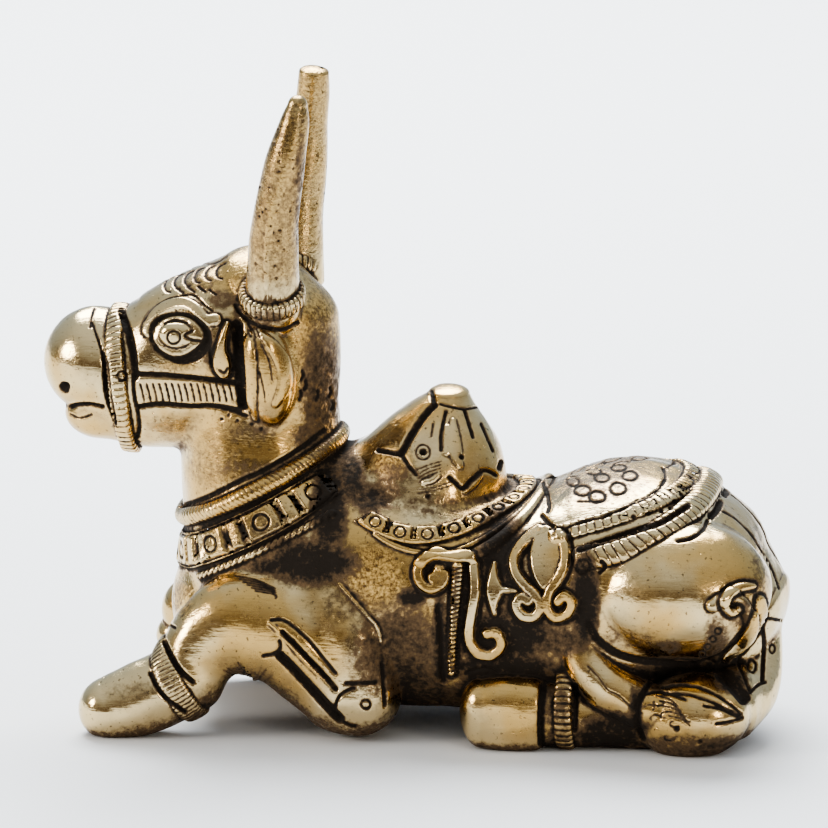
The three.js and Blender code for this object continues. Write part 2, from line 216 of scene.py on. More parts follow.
# The forms, with how softly each one runs into those before it.
FORMS = [
    (limb([[-27, 0, 18, 14, 12], [-17, 0, 20, 17.2, 15.6], [-4, 0, 20, 18.8, 17.6], [10, 0, 18.6, 19.4, 16.2],
           [20, 0, 19, 19.8, 15.6], [32, 0, 21, 20.4, 17.5], [40, 0, 19.4, 18.8, 15.4], [46, 0, 16.4, 14, 12],
           [50.4, 0, 14.4, 9.4, 9]], power=2.5, dome=0.34), 1),
    (Ellipsoid([-28.2, 0, 16], [7.7, 12, 10]), 1),
    (limb([[-19, 0, 20, 16.5, 14.4], [-21, 0, 30, 14.7, 13.4], [-22.6, 0, 38, 12.3, 12],
           [-22.8, 0, 46, 10.9, 11.4], [-21.4, 0, 54, 10.4, 10.4], [-20.8, 0, 59.5, 9.4, 9.4]], dome=0.6),
     2.5),
    (limb([[-48.5, 0, 51.4, 6.2, 6.2], [-44, 0, 50.1, 7.8, 9.8], [-38.4, 0, 50.2, 8.9, 11.4],
           [-31.7, 0, 52.5, 10, 12.4], [-25.7, 0, 56.2, 10.6, 11.8], [-21.8, 0, 59.2, 9.4, 10.8]], power=2.2,
          dome=0.9), 1.5),
    (Ellipsoid([-47.1, 0, 51.6], [7.7, 7.6, 7.9]), 1.2),
    (Ellipsoid([-46, 0, 43.9], [5.8, 5.8, 3.9]), 0.7),
    (limb([[1.2, 0, 30, 13.4, 12.6], [1.4, 0, 35, 12.3, 12], [1.8, 0, 38.6, 11, 11.1], [2.5, 0, 42, 8.9, 9.2],
           [3.4, 0, 45.6, 5.9, 5.9], [4.8, 0, 48.4, 3.5, 3.1]], level=True, dome=0.35), 0.8),
    (Ellipsoid([-7.5, 0, 34.4], [7.8, 11, 5.9]), 2),
]
for side in (LEFT, RIGHT):
    FORMS.append((Ellipsoid([-20.3, side * 11.6, 53.2], [3.5, 2.8, 7.2], -6, side * -10), 2.4))
FORMS += [
    (limb([[-19.9, -8.6, 62.5, 4, 4], [-19.7, -9.3, 71.4, 3.6, 3.7], [-19.1, -10.2, 77, 3.2, 3.3],
           [-17.6, -11, 85.3, 2.8, 2.9], [-16.3, -11, 91, 2.1, 2.2], [-15.9, -10.8, 93.4, 1.5, 1.5]]), 0.8),
    (limb([[-18.9, 8.6, 62.5, 4, 4], [-18.5, 9.6, 71.4, 3.6, 3.4], [-17.6, 10.6, 80, 3.1, 2.9],
           [-16.9, 10.9, 88, 2.7, 2.5], [-16.5, 10.4, 93.4, 2.1, 2.2]], dome=0.35), 0.8),
    # The left foreleg is raised on its elbow and plants its hoof in front.
    (limb([[-12, -13, 20, 6.6, 6.6], [-7.6, -14.4, 14.4, 7.2, 6.8], [-6.5, -15.8, 6.8, 6.4, 6.6]]), 1.2),
    (limb([[-9.4, -15.6, 7, 6, 6], [-16.6, -15.6, 14.8, 6.6, 7.8], [-23.4, -15.6, 16.2, 6.2, 8],
           [-28.4, -16.2, 13.5, 5.4, 6.3], [-31.3, -17, 8.7, 4.8, 5.2]]), 1.6),
    (limb([[-31, -17, 8.6, 5, 5.4], [-37.4, -17.8, 5.5, 5.2, 5.5], [-42.5, -18.4, 3.7, 4.7, 4.8]]), 0.8),
    # The right foreleg is folded flat, its hoof tucked back under it.
    (limb([[-12, 12, 20, 7, 7], [-8, 14, 14, 7.6, 7], [-9, 15, 8, 6, 5.6]]), 1),
    (limb([[-9, 15, 9, 5.4, 5.6], [-22, 14, 11.2, 5.2, 5.6], [-35, 12, 11.4, 4.4, 4.6]]), 1),
    (limb([[-36.6, 12.4, 7.2, 3.8, 3.6], [-22, 15, 3.9, 4.2, 4], [-12, 16.5, 3.8, 4.6, 4.3]]), 0.5),
    # The tail comes down the rump and lays its tuft forward beside the left haunch.
    (limb([[45.5, 0, 30, 2.4, 2.2], [49.8, 0, 23, 2.6, 2.4], [51.2, -1.5, 14, 3.2, 3],
           [50, -7, 7.8, 4.2, 4.6], [47.4, -12.4, 6, 5.4, 5.6]]), 0.6),
    (Ellipsoid([43, -16.6, 5.2], [8.6, 6.6, 6.3], -8), 0.6),
    (Ellipsoid([40.2, -12.2, 23], [13.9, 11.2, 10.4], -4), 0.5),
    (Ellipsoid([38, 9.6, 21.8], [13.2, 11.2, 9.4], -4), 1),
]
for side in (LEFT, RIGHT):
    FORMS += [
        (limb([[25.6, side * 16, 17.6, 3.6, 3.4], [29.6, side * 18.6, 10.8, 3.8, 3.6],
               [36.8, side * 18.6, 6.8, 3.8, 3.6]]), 0.5),
        (limb([[38, side * 15, 4.3, 4.6, 4.6], [28, side * 16, 4.8, 4.8, 4.8], [20, side * 17, 5.2, 5, 5]]),
         0.5),
        (limb([[19.4, side * 17.4, 5.2, 5, 5.6], [15.6, side * 17.6, 5.2, 5.2, 5.8],
               [12.6, side * 17.6, 5.1, 4.8, 5.2]], power=2.8, dome=0.75), 0.5),
    ]


def body(p):
    return field(FORMS, p)


def slope(f, p, step=0.06):
    """Unit normals of a field."""
    d = np.eye(3, dtype=np.float32) * step
    return unit_rows(np.stack([f(p + d[i]) - f(p - d[i]) for i in range(3)], axis=1))


def laid(starts, ways, far, inside=False):
    """Where rays first cross the body's skin, and the skin's normal there."""
    starts, ways = np.asarray(starts, np.float32), unit_rows(np.asarray(ways, np.float32))
    t = np.arange(0, far, 0.4, dtype=np.float32)
    p = starts[:, None] + t[None, :, None] * ways[:, None]
    f = body(p.reshape(-1, 3)).reshape(len(starts), -1)
    crossed = (f[:, :-1] < 0) & (f[:, 1:] >= 0) if inside else (f[:, :-1] >= 0) & (f[:, 1:] < 0)
    i = crossed.argmax(1)
    rows = np.arange(len(starts))
    a, b = f[rows, i], f[rows, i + 1]
    at = t[i] + 0.4 * a / (a - b + 1e-9)
    point = starts + at[:, None] * ways
    for _ in range(2):
        g = slope(body, point)
        point = point - body(point)[:, None] * g
    return point, slope(body, point)


def on_side(side, places):
    """Laid on a side from stations (x, z)."""
    x, z = np.asarray(places, float).T
    return laid(np.stack([x, np.full(len(x), side * 30.0), z], 1), np.tile([0, -side, 0], (len(x), 1)), 32)


def on_top(places):
    """Laid on the back from stations (x, y)."""
    x, y = np.asarray(places, float).T
    return laid(np.stack([x, y, np.full(len(x), 52.0)], 1), np.tile([0, 0, -1], (len(x), 1)), 50)


def around(centre, tilt, count, height=0, start=0, end=None):
    """Laid round the body in a plane tilted about Y, seen from a centre inside it; angles from its rear."""
    t = math.radians(tilt)
    along, normal = np.array([math.cos(t), 0, math.sin(t)]), np.array([-math.sin(t), 0, math.cos(t)])
    a = 2 * np.pi * np.arange(count) / count if end is None else np.radians(np.linspace(start, end, count))
    ways = np.cos(a)[:, None] * along + np.sin(a)[:, None] * np.array([0, 1, 0])
    return laid(np.tile(np.array(centre) + normal * height, (count, 1)), ways, 24, inside=True)


def band(places, half, lift, sink=0.0, **shape):
    """A band or cord along laid places; its section stands on the skin."""
    point, normal = places
    closed = shape.get("closed", False)
    after, before = (np.roll(point, -1, 0), np.roll(point, 1, 0)) if closed else (
        np.concatenate([point[1:], point[-1:]]), np.concatenate([point[:1], point[:-1]]))
    tangent = unit_rows(after - before)
    up = unit_rows(normal - tangent * np.einsum("ij,ij->i", normal, tangent)[:, None])
    n = len(point)
    half, lift = (np.full(n, w) if np.isscalar(w) else w for w in (half, lift))
    return Sweep(point - up * sink, np.cross(up, tangent), up, half, lift, reach=TRIM_REACH, **shape)


SNUG = 0.12  # how softly the trim runs into the skin
TRIM = []


def trim(places, half, lift, soft=SNUG, **shape):
    TRIM.append((band(places, half, lift, **shape), soft))


def oval(x, a, b, start, end, count, power=2.3):
    """Stations (x, y) on an oval seen from above, from one angle to another."""
    t = np.radians(np.linspace(start, end, count))
    c, s = np.cos(t), np.sin(t)
    return np.stack([x + a * np.sign(c) * np.abs(c) ** (2 / power),
                     b * np.sign(s) * np.abs(s) ** (2 / power)], 1)


def ring(centre, radii, tilt, count=40):
    """Places and normals of a free ring in a level plane, tilted about X."""
    a = 2 * np.pi * np.arange(count) / count
    t = math.radians(tilt)
    rx = np.array([[1, 0, 0], [0, math.cos(t), -math.sin(t)], [0, math.sin(t), math.cos(t)]])
    out = np.stack([np.cos(a), np.sin(a), 0 * a], 1)
    return np.array(centre) + out * np.array([radii[0], radii[1], 1]) @ rx.T, unit_rows(out @ rx.T)


def strokes(pitch, depth, slant=0.0, sharp=3.0, shift=0.0):
    """Chased strokes across a band or round a cord."""
    def groove(s, u, v):
        turns = (s + slant * u) / pitch + shift
        return depth * (0.5 + 0.5 * np.cos(2 * np.pi * turns)) ** sharp
    return groove


def twist(pitch, depth):
    """The strands of a twisted cord."""
    def groove(s, u, v):
        return depth * (1 - np.abs(np.sin(np.pi * s / pitch + np.arctan2(v, u)))) ** 1.5
    return groove


def gap(d, width):
    """1 on a line, falling to 0 at its edge."""
    return np.clip(1 - (d / width) ** 2, 0, 1)


# The collar: a stroked cord, a row of plates under it, and the start of a thin twisted rope under those.
COLLAR, COLLAR_TILT = [-22.5, 0, 35.5], 28
PLATE_PITCH, FRONT_PLATE = 8.65, 2.3
PLATE_ROW, PLATE_ROW_START, PLATE_ROW_END = -4.4, 43, 317
THIN_ROPE, THIN_ROPE_STARTS, THIN_ROPE_TURN = -7.8, (55, 222), 83
trim(around(COLLAR, COLLAR_TILT, 72), 1.35, 1.25, sink=-0.1, closed=True, groove=strokes(0.72, 0.08, 0.3))


def plate_groove(middle):
    """Square plates with a punched ring, parted by two bars; mirrored about the middle of the row."""
    def groove(s, u, v):
        x = ((np.abs(s - middle) - FRONT_PLATE) / PLATE_PITCH % 1 - 0.5) * PLATE_PITCH
        bars = 0.6 * gap(np.abs(x) - 2.95, 0.75) * (np.abs(u) < 2.3)
        struck = 0.3 * gap(np.hypot(x, u) - 1.15, 0.28)
        edge = 0.35 * gap(np.abs(u) - 2.2, 0.26)
        return np.maximum(np.maximum(bars, struck), edge)
    return groove


plate_at = around(COLLAR, COLLAR_TILT, 90, PLATE_ROW, PLATE_ROW_START, PLATE_ROW_END)
row_length = np.linalg.norm(np.diff(plate_at[0], axis=0), axis=1).sum()
trim(plate_at, 2.6, 0.95, power=5, groove=plate_groove(row_length / 2))
for start in THIN_ROPE_STARTS:
    thin_rope_at = around(COLLAR, COLLAR_TILT, 30, THIN_ROPE, start, start + THIN_ROPE_TURN)
    trim(thin_rope_at, 0.6, 0.55, groove=twist(1.1, 0.2))

# The halter's band round the nose.
nose_band_at = around([-42.8, 0, 50], 96, 48)
trim(nose_band_at, 1.35, 1.15, 0.1, closed=True, power=4, groove=strokes(0.95, 0.2, 0.1, 8))

for side in (LEFT, RIGHT):
    # A stroked band round the root of the horn.
    horn_root = ring([-20, side * 8.7, 64.4], [4.1, 4.2], side * -24)
    trim(horn_root, 1.2, 0.8, closed=True, power=3, groove=strokes(0.78, 0.22, 0, 6))
    # The eyeball.
    eye, out = on_side(side, [[-33.7, 57.9]])
    TRIM.append((Ellipsoid(eye[0] - 0.35 * out[0], [3.1, 1.25, 2.0], 4), 0.1))
    # A band round the hind pastern.
    t = 2 * np.pi * np.arange(40) / 40
    pastern = np.stack([0 * t + 24.6, side * 16.4 + 5.2 * np.cos(t), 5.9 + 5.6 * np.sin(t)], 1)
    out = np.stack([0 * t, np.cos(t), np.sin(t)], 1)
    trim((pastern, out), 1.35, 0.8, closed=True, power=3, groove=strokes(0.95, 0.2, 0, 5))
    # A strap from the saddle down the flank.
    strap = np.stack([np.linspace(9.0, 8.05, 18), np.linspace(27.2, 10.8, 18)], 1)
    trim(on_side(side, strap), np.linspace(0.95, 0.7, 18), 0.9, groove=strokes(0.62, 0.3))


BEAD_PITCH = 4.0


def bead_groove(s, u, v):
    """Beads on the saddle's band, parted by short bars."""
    t = (s / BEAD_PITCH) % 1 - 0.5
    bars = 0.8 * gap(np.abs(np.abs(t) - 0.5) * BEAD_PITCH, 0.5) * (u > -0.8)
    beads = 0.25 * gap(np.hypot(t * BEAD_PITCH, u) - 0.8, 0.26)
    return np.maximum(bars, beads)


# Over the back: three bands of the saddle round the hump, then the cloth's border and its rope.
beads_at, thread_at = oval(1.2, 15.2, 16.2, -116, 116, 90, 2), oval(3, 15.6, 17.4, -112, 112, 80)
saddle_edge_at, border_at = oval(4.5, 14.6, 17.8, -92, 92, 80, 2.6), oval(26, 14.6, 16.1, -100, 100, 80)
rope_at = oval(28, 15, 18.9, -92, 92, 90, 2.6)
trim(on_top(beads_at), 1.35, 0.85, power=3.5, groove=bead_groove)
trim(on_top(thread_at), 0.42, 0.5)
trim(on_top(saddle_edge_at), 0.95, 0.8)
trim(on_top(border_at), 1.4, 0.6, power=4, groove=strokes(1.2, 0.16, 0, 8))
trim(on_top(rope_at), 1.9, 1.2, power=2.3, groove=strokes(1.3, 0.2, 0.3, 12))
# The cord round the root of the tail, and the band round the raised foreleg.
tail_cord = smooth_rows([[46.6, 23.4], [49, 24.6], [50.8, 22.8], [51.4, 20], [50, 16.6], [46, 13.8]], 5)
trim(on_side(LEFT, tail_cord), 1.0, 1.2)
anklet_at = around([-32.8, -17, 8.6], -60, 40)
trim(anklet_at, 1.75, 0.7, closed=True, power=3, groove=strokes(0.62, 0.13, 0, 4))


def whole(p):
    """The whole figure, body and trim, cut flat at the ground; worked out in parts side by side."""
    part = lambda q: grounded(field(FORMS + TRIM, q), q[:, 2])
    pieces = np.array_split(p.astype(np.float32), max(1, len(p) // 40000))
    with ThreadPoolExecutor(4) as pool:
        return np.concatenate(list(pool.map(part, pieces)))


KEPT_NEAR = 3.5, 7  # how near the skin a coarse node has to be to be split again, in fine pitches


def refined(lo, hi, pitch, levels=3):
    """Grid nodes near the skin, at the fine pitch, with the shape of the grid and the values at them."""
    shape = None
    for level in range(levels - 1, -1, -1):
        step = pitch * 2**level
        if shape is None:
            shape = np.ceil((hi - lo) / step).astype(int) + 1
            nodes = np.indices(shape).reshape(3, -1).T
        else:
            kids = np.indices((2, 2, 2)).reshape(3, -1).T
            nodes = (nodes[:, None] * 2 + kids).reshape(-1, 3)
            shape = shape * 2
        nodes = nodes.astype(np.int32)
        value = whole((lo + nodes * step).astype(np.float32))
        if level:
            nodes = nodes[np.abs(value) < KEPT_NEAR[level - 1] * pitch]
    return nodes, shape, value


def skinned(nodes, shape, value, lo, pitch):
    """A quad mesh over the zero of a field known at grid nodes near it."""
    stride = np.array([shape[1] * shape[2], shape[2], 1], np.int64)
    dense = np.full(int(np.prod(shape)), np.nan, np.float32)
    dense[nodes @ stride] = value
    corner = np.indices((2, 2, 2)).reshape(3, -1).T
    ok = np.all(nodes < np.array(shape) - 1, axis=1)
    base = nodes[ok] @ stride
    cells = nodes[ok]
    f = np.stack([dense[base + c @ stride] for c in corner], 1)
    mixed = ~np.isnan(f).any(1) & (f.min(1) < 0) & (f.max(1) >= 0)
    base, cells, f = base[mixed], cells[mixed], f[mixed]
    order = np.argsort(base)
    base, cells, f = base[order], cells[order], f[order]
    total, count = np.zeros((len(base), 3)), np.zeros(len(base))
    for i in range(8):
        for j in range(i + 1, 8):
            if np.abs(corner[i] - corner[j]).sum() != 1:
                continue
            crossed = (f[:, i] < 0) != (f[:, j] < 0)
            t = f[crossed, i] / (f[crossed, i] - f[crossed, j])
            total[crossed] += corner[i] + t[:, None] * (corner[j] - corner[i])
            count[crossed] += 1
    points = lo + (cells + total / count[:, None]) * pitch
    quads = []
    for axis in range(3):
        b, c = stride[(axis + 1) % 3], stride[(axis + 2) % 3]
        f0, f1 = f[:, 0], f[:, np.flatnonzero((corner == np.eye(3, dtype=int)[axis]).all(1))[0]]
        crossed = (f0 < 0) != (f1 < 0)
        own = base[crossed]
        four = np.stack([own - b - c, own - c, own, own - b], 1)
        at = np.minimum(np.searchsorted(base, four), len(base) - 1)
        known = (base[at] == four).all(1)
        at, flip = at[known], f0[crossed][known] >= 0
        at[flip] = at[flip][:, ::-1]
        quads.append(at)
    return points, np.concatenate(quads)


# The room that the figure takes up, in millimetres.
lo, hi = np.array([-56.0, -25.5, -1.2]), np.array([56.5, 25.5, 97])
points, quads = skinned(*refined(lo, hi, PITCH), lo, PITCH)


def mesh_normals(points, quads):
    a, b, c, d = (points[quads[:, i]] for i in range(4))
    face = np.cross(c - a, d - b)
    out = np.zeros_like(points)
    for axis in range(3):
        for i in range(4):
            out[:, axis] += np.bincount(quads[:, i], face[:, axis], len(points))
    return unit_rows(out)


# The points are drawn onto the skin.
normals = mesh_normals(points, quads)
for _ in range(2):
    points = points - np.clip(whole(points), -0.1, 0.1)[:, None] * normals
normals = mesh_normals(points, quads)

EDGES = np.concatenate([quads[:, [i, (i + 1) % 4]] for i in range(4)])
EDGES = np.unique(np.sort(EDGES, axis=1), axis=0)
DEGREE = np.bincount(EDGES.ravel(), minlength=len(points)).astype(float)


def averaged(value, times):
    """A value on the mesh, smoothed by its neighbours a number of times."""
    value = value.astype(float)
    a, b = EDGES.T
    for _ in range(times):
        if value.ndim == 1:
            total = np.bincount(a, value[b], len(value)) + np.bincount(b, value[a], len(value))
            value = 0.5 * value + 0.5 * total / DEGREE
        else:
            total = [np.bincount(a, w[b], len(w)) + np.bincount(b, w[a], len(w)) for w in value.T]
            value = 0.5 * value + 0.5 * np.stack(total, 1) / DEGREE[:, None]
    return value


def hollow(times):
    """How far below its smoothed surroundings the skin lies, in millimetres."""
    return np.einsum("ij,ij->i", averaged(points, times) - points, normals)


# Where the photograph shows its strokes: its own directions, and places in its pixels.
BACK = np.array([math.sin(VIEW_AZIMUTH) * math.cos(VIEW_ELEVATION),
                 -math.cos(VIEW_AZIMUTH) * math.cos(VIEW_ELEVATION), math.sin(VIEW_ELEVATION)])
ACROSS = np.array([math.cos(VIEW_AZIMUTH), math.sin(VIEW_AZIMUTH), 0])
UP = np.cross(BACK, ACROSS)
NEAR_SIDE, FAR_SIDE = np.array([1, 1, 1]), np.array([1, -1, 1])


def seen(points, normals, cell=3, depth_play=1.6):
    """Where the photograph shows each point, and which of them it could show."""
    u = ORIGIN_U + points @ ACROSS / MM_PER_PIXEL
    v = ORIGIN_V - points @ UP / MM_PER_PIXEL
    depth = -(points @ BACK)
    row = PHOTO // cell + 1
    at = np.clip(u // cell, 0, row - 1).astype(int) + np.clip(v // cell, 0, row - 1).astype(int) * row
    nearest = np.full(row * row, 1e9)
    np.minimum.at(nearest, at, depth)
    return u, v, (depth < nearest[at] + depth_play) & (normals @ BACK > 0.03)


CUTS, RAISES = [], []


def curve(places, half):
    """A smooth curve through places in the photograph; a place may bring its own half width."""
    rows = np.array([[*p, half] if len(p) == 2 else p for p in places], float)
    return smooth_rows(rows, 4) if len(rows) > 2 else rows


def chased(lines, left_only=False):
    """Chased strokes: each its half width and depth in millimetres, then its places in the photograph."""
    for half, depth, *places in lines:
        CUTS.append((curve(places, half), half, depth, left_only))


def strands(lines, left_only=False, halo=0.35):
    """Raised strands: each its half width and lift, then its places; halo is a dark line at its foot."""
    for half, lift, *places in lines:
        RAISES.append((curve(places, half), lift, left_only, halo))


def punched(rings, left_only=False):
    """Struck rings: each its half width, depth, middle and radii, and an open one its start and end."""
    for half, depth, u, v, ru, rv, *ends in rings:
        a = np.radians(np.linspace(*(ends or (0, 360)), 17))
        chased([(half, depth, *np.stack([u + ru * np.cos(a), v + rv * np.sin(a)], 1))], left_only)


def dots(half, depth, places, left_only=False):
    """Small pits."""
    chased([(half, depth, (u - 0.3, v), (u + 0.3, v)) for u, v in places], left_only)


def head_strokes():
    eye = (
        (0.2, 0.3, (146, 322), (152, 312), (161, 304), (170, 299), (180, 297), (190, 295), (197, 297),
         (205, 305), (213, 311)),
        (0.7, 0.8, (152, 340, 0.3), (154, 327, 0.35), (163, 318, 0.35), (177, 314, 0.35), (190, 316, 0.4),
         (201, 323, 0.5), (208, 334, 0.6), (206, 346, 0.85), (197, 355, 0.9), (184, 360, 0.7),
         (170, 358, 0.45), (159, 351, 0.4), (152, 340, 0.3)),
        (0.26, 0.35, (193, 331), (186, 336), (192, 340), (200, 341)),
        (0.16, 0.2, (165, 324), (176, 320), (188, 323)),
    )
    cheek_strap = (
        (0.42, 0.7, (138, 374), (160, 375), (185, 377), (210, 380), (236, 383)),
        (0.38, 0.6, (138, 407), (160, 404), (190, 406), (215, 406), (240, 410)),
        *((0.15, 0.3, (u, 384), (u + 2.5, 393), (u + 4, 401)) for u in np.arange(141, 230, 6.3)),
    )
    beside_nose_band = (
        (0.6, 0.8, (122, 312), (127, 325), (131, 340), (134, 356), (136, 377)),
        (0.3, 0.5, (134, 380), (135, 395), (138, 410), (140, 425), (138, 438)),
        (0.5, 0.8, (103, 352, 0.25), (106, 364, 0.5), (107, 380, 0.6), (109, 397, 0.6), (113, 412, 0.5),
         (116, 424, 0.3)),
        (0.2, 0.4, (93, 322), (97, 334), (101, 346), (104, 358)),
        (0.2, 0.3, (95, 309), (92, 318), (91, 327)),
    )
    mouth = (
        (0.34, 0.8, (71, 407), (80, 405), (92, 405), (103, 407)),
        (0.15, 0.25, (71, 414), (80, 418), (92, 415)),
    )
    # Comma curls in two rows over the forehead.
    upper_curls = (166, 290), (176, 287), (186, 284), (196, 281), (207, 279), (218, 277)
    lower_curls = (180, 291), (191, 290), (202, 290), (213, 293)
    forehead = (
        *((0.17, 0.32, (u + 8, v - 13), (u + 2, v - 10), (u - 1, v - 4), (u + 1, v + 1), (u + 5, v + 2))
          for u, v in upper_curls),
        *((0.22, 0.35, (u - 3, v - 3), (u + 1, v), (u + 4, v + 2)) for u, v in lower_curls),
        (0.15, 0.2, (208, 264), (217, 263), (228, 257)),
        (0.32, 0.4, (236, 306), (246, 319), (262, 327), (282, 330), (298, 323)),
    )
    ear = (
        (0.3, 0.4, (210, 342), (211, 355), (213, 368)),
        (0.2, 0.3, (221, 369), (226, 372), (229, 367)),
        (0.95, 1.2, (238, 326), (240, 345), (241, 365), (242, 385), (244, 404)),
        (0.3, 0.4, (222, 408), (236, 412), (247, 416)),
        *((0.12, 0.2, (u, 329), (u + 4, 338)) for u in (249, 253, 257)),
        (0.14, 0.2, (262, 345), (270, 362), (273, 381)),
        (0.12, 0.15, (260, 372), (264, 388), (266, 402)),
    )
    for lines in (eye, cheek_strap, beside_nose_band, mouth, forehead, ear):
        chased(lines)
    brow = (0.8, 0.45, (149, 331), (152, 320), (160, 311), (173, 305), (186, 304), (197, 310), (206, 320),
            (216, 320))
    horn_ridge = (0.5, 0.13, (299, 114, 0.3), (292, 160, 0.6), (277, 205, 0.6), (269, 240, 0.5),
                  (267, 288, 0.3))
    ear_rim = (0.7, 0.4, (243, 318, 0.3), (248, 334, 0.7), (251, 356, 0.8), (252, 380, 0.75), (253, 402, 0.6),
               (256, 418, 0.35))
    ear_ridge = 0.9, 0.3, (262, 334, 0.3), (276, 350, 0.9), (286, 368, 1.1), (285, 386, 0.9), (276, 404, 0.4)
    strands((brow, horn_ridge, ear_rim, ear_ridge), halo=0)
    drop_behind_eye = (1.3, 0.7, (228, 325, 0.35), (224, 338, 0.5), (222, 352, 0.85), (223, 364, 1.3),
                       (225, 372, 0.9))
    strands([drop_behind_eye], halo=0.3)
    iris = 0.17, 0.3, 174.5, 338, 6.5, 6.5
    knob_on_band = 0.2, 0.3, 123, 376, 4.5, 4.5
    punched((iris, knob_on_band))
    nostril, below_nostril = (65, 387), (66, 390)
    dots(0.8, 1.2, [nostril])
    dots(0.55, 0.8, [below_nostril])
    under_cheek = (222, 419), (229, 415), (238, 421), (252, 424), (262, 429)
    dots(0.24, 0.35, under_cheek)


def neck_strokes():
    # Pits all over the near horn, which leans back as it rises.
    horn_u, horn_v, horn_middle, horn_lean, pits = (256, 292), (130, 292), 210, 0.16, 26
    horn_pits = np.column_stack([rng.uniform(*horn_u, pits), rng.uniform(*horn_v, pits)])
    dots(0.13, 0.35, [(u + (horn_middle - v) * horn_lean, v) for u, v in horn_pits])
    between_horns = (309, 236), (313, 243), (307, 226), (318, 231), (311, 214), (316, 252)
    dots(0.26, 0.4, between_horns)
    above_cord = (0.4, 0.45, (180, 506), (200, 500), (220, 491), (240, 481), (262, 471), (282, 460),
                  (303, 447), (325, 430))
    nape_nicks = (303, 375), (306, 385), (301, 395), (331, 392), (333, 405), (318, 395)
    chased([above_cord])
    chased([(0.28, 0.3, (u, v - 4), (u + 1, v), (u - 1, v + 5)) for u, v in nape_nicks])


def hump_strokes():
    petals = (
        (0.55, 0.8, (434, 405), (428, 411), (419, 422), (411, 435), (405, 446), (401, 454)),
        (0.35, 0.6, (431, 391), (433, 401)),
        (0.42, 0.6, (378, 450), (389, 452), (400, 454)),
        (0.32, 0.5, (403, 457), (409, 466), (416, 474)),
        (0.2, 0.3, (440, 404), (452, 407), (465, 409), (478, 407)),
        (0.28, 0.5, (465, 410), (469, 424), (473, 437)),
        (0.24, 0.4, (481, 424), (487, 437), (493, 451)),
        (0.3, 0.45, (481, 470), (489, 471), (495, 475)),
        (0.45, 0.5, (499, 468), (501, 462)),
        (0.3, 0.35, (446, 411), (443, 424), (441, 437), (441, 450)),
        (0.18, 0.2, (433, 423), (431, 436)),
        (0.36, 0.5, (449, 477), (456, 483), (463, 488), (471, 480), (481, 471)),
    )
    scratches = (
        *((0.1, 0.1, (416 + k, 470 + 4 * k), (428, 465 + 3.5 * k), (441, 461 + 3.4 * k)) for k in range(4)),
        *((0.1, 0.12, (418, 489 + 4 * k), (435, 487 + 3 * k), (452, 481 + 4 * k)) for k in range(2)),
    )
    ridges = (
        (0.55, 0.25, (449, 440), (447, 428), (446, 452)),
        (0.8, 0.25, (453, 420, 0.3), (453, 436, 0.8), (455, 452, 0.9), (459, 465, 0.5)),
        (0.4, 0.35, (465, 490), (473, 484), (479, 475)),
        (0.32, 0.3, (424, 482), (432, 480), (438, 475)),
    )
    chased(petals)
    chased(scratches)
    strands(ridges, halo=0)
    pit, ring_radii = (423, 452), (7, 7.5)
    dots(0.55, 0.7, [pit])
    punched([(0.15, 0.15, *pit, *ring_radii)])
    pit_on_petal, pit_below = (461, 457), (428, 496)
    dots(0.4, 0.6, [pit_on_petal])
    dots(0.45, 0.5, [pit_below])


def foreleg_strokes():
    channels = (
        (0.42, 0.8, (283, 631), (297, 645), (311, 660), (325, 675), (336, 688)),
        (0.28, 0.35, (272, 619), (284, 619), (297, 628), (311, 641), (323, 656), (336, 672)),
        (0.75, 0.95, (281, 655), (290, 664), (304, 679), (317, 693), (329, 706), (340, 718)),
        (0.3, 0.4, (264, 655), (274, 653), (281, 647), (280, 640)),
        (0.3, 0.4, (346, 682), (360, 682), (376, 681)),
        (0.3, 0.5, (382, 662), (384, 684), (385, 704)),
    )
    beside_anklet = (
        (0.42, 0.7, (165, 641), (172, 655), (181, 669), (194, 681)),
        (0.34, 0.6, (151, 672), (160, 689), (171, 701), (186, 711)),
        (0.22, 0.4, (162, 620), (169, 623), (176, 627)),
    )
    scratches = [(0.12, 0.12, (236 + 4 * k, 575 + 3 * k), (256 + 4 * k, 579 + 3 * k), (276, 588 + 2 * k))
                 for k in range(6)]
    for lines in (channels, beside_anklet, scratches):
        chased(lines, left_only=True)
    ridges = (
        (0.24, 0.25, (270, 621), (285, 636), (302, 656), (319, 673)),
        (0.16, 0.22, (340, 583), (353, 598), (366, 613), (377, 626), (381, 640)),
    )
    strands(ridges, left_only=True, halo=0)
    around_elbow = 0.26, 0.4, 357, 706, 21, 19, 95, 265
    ring_on_elbow = 0.2, 0.28, 366, 703, 4.5, 4.5
    punched((around_elbow, ring_on_elbow), left_only=True)


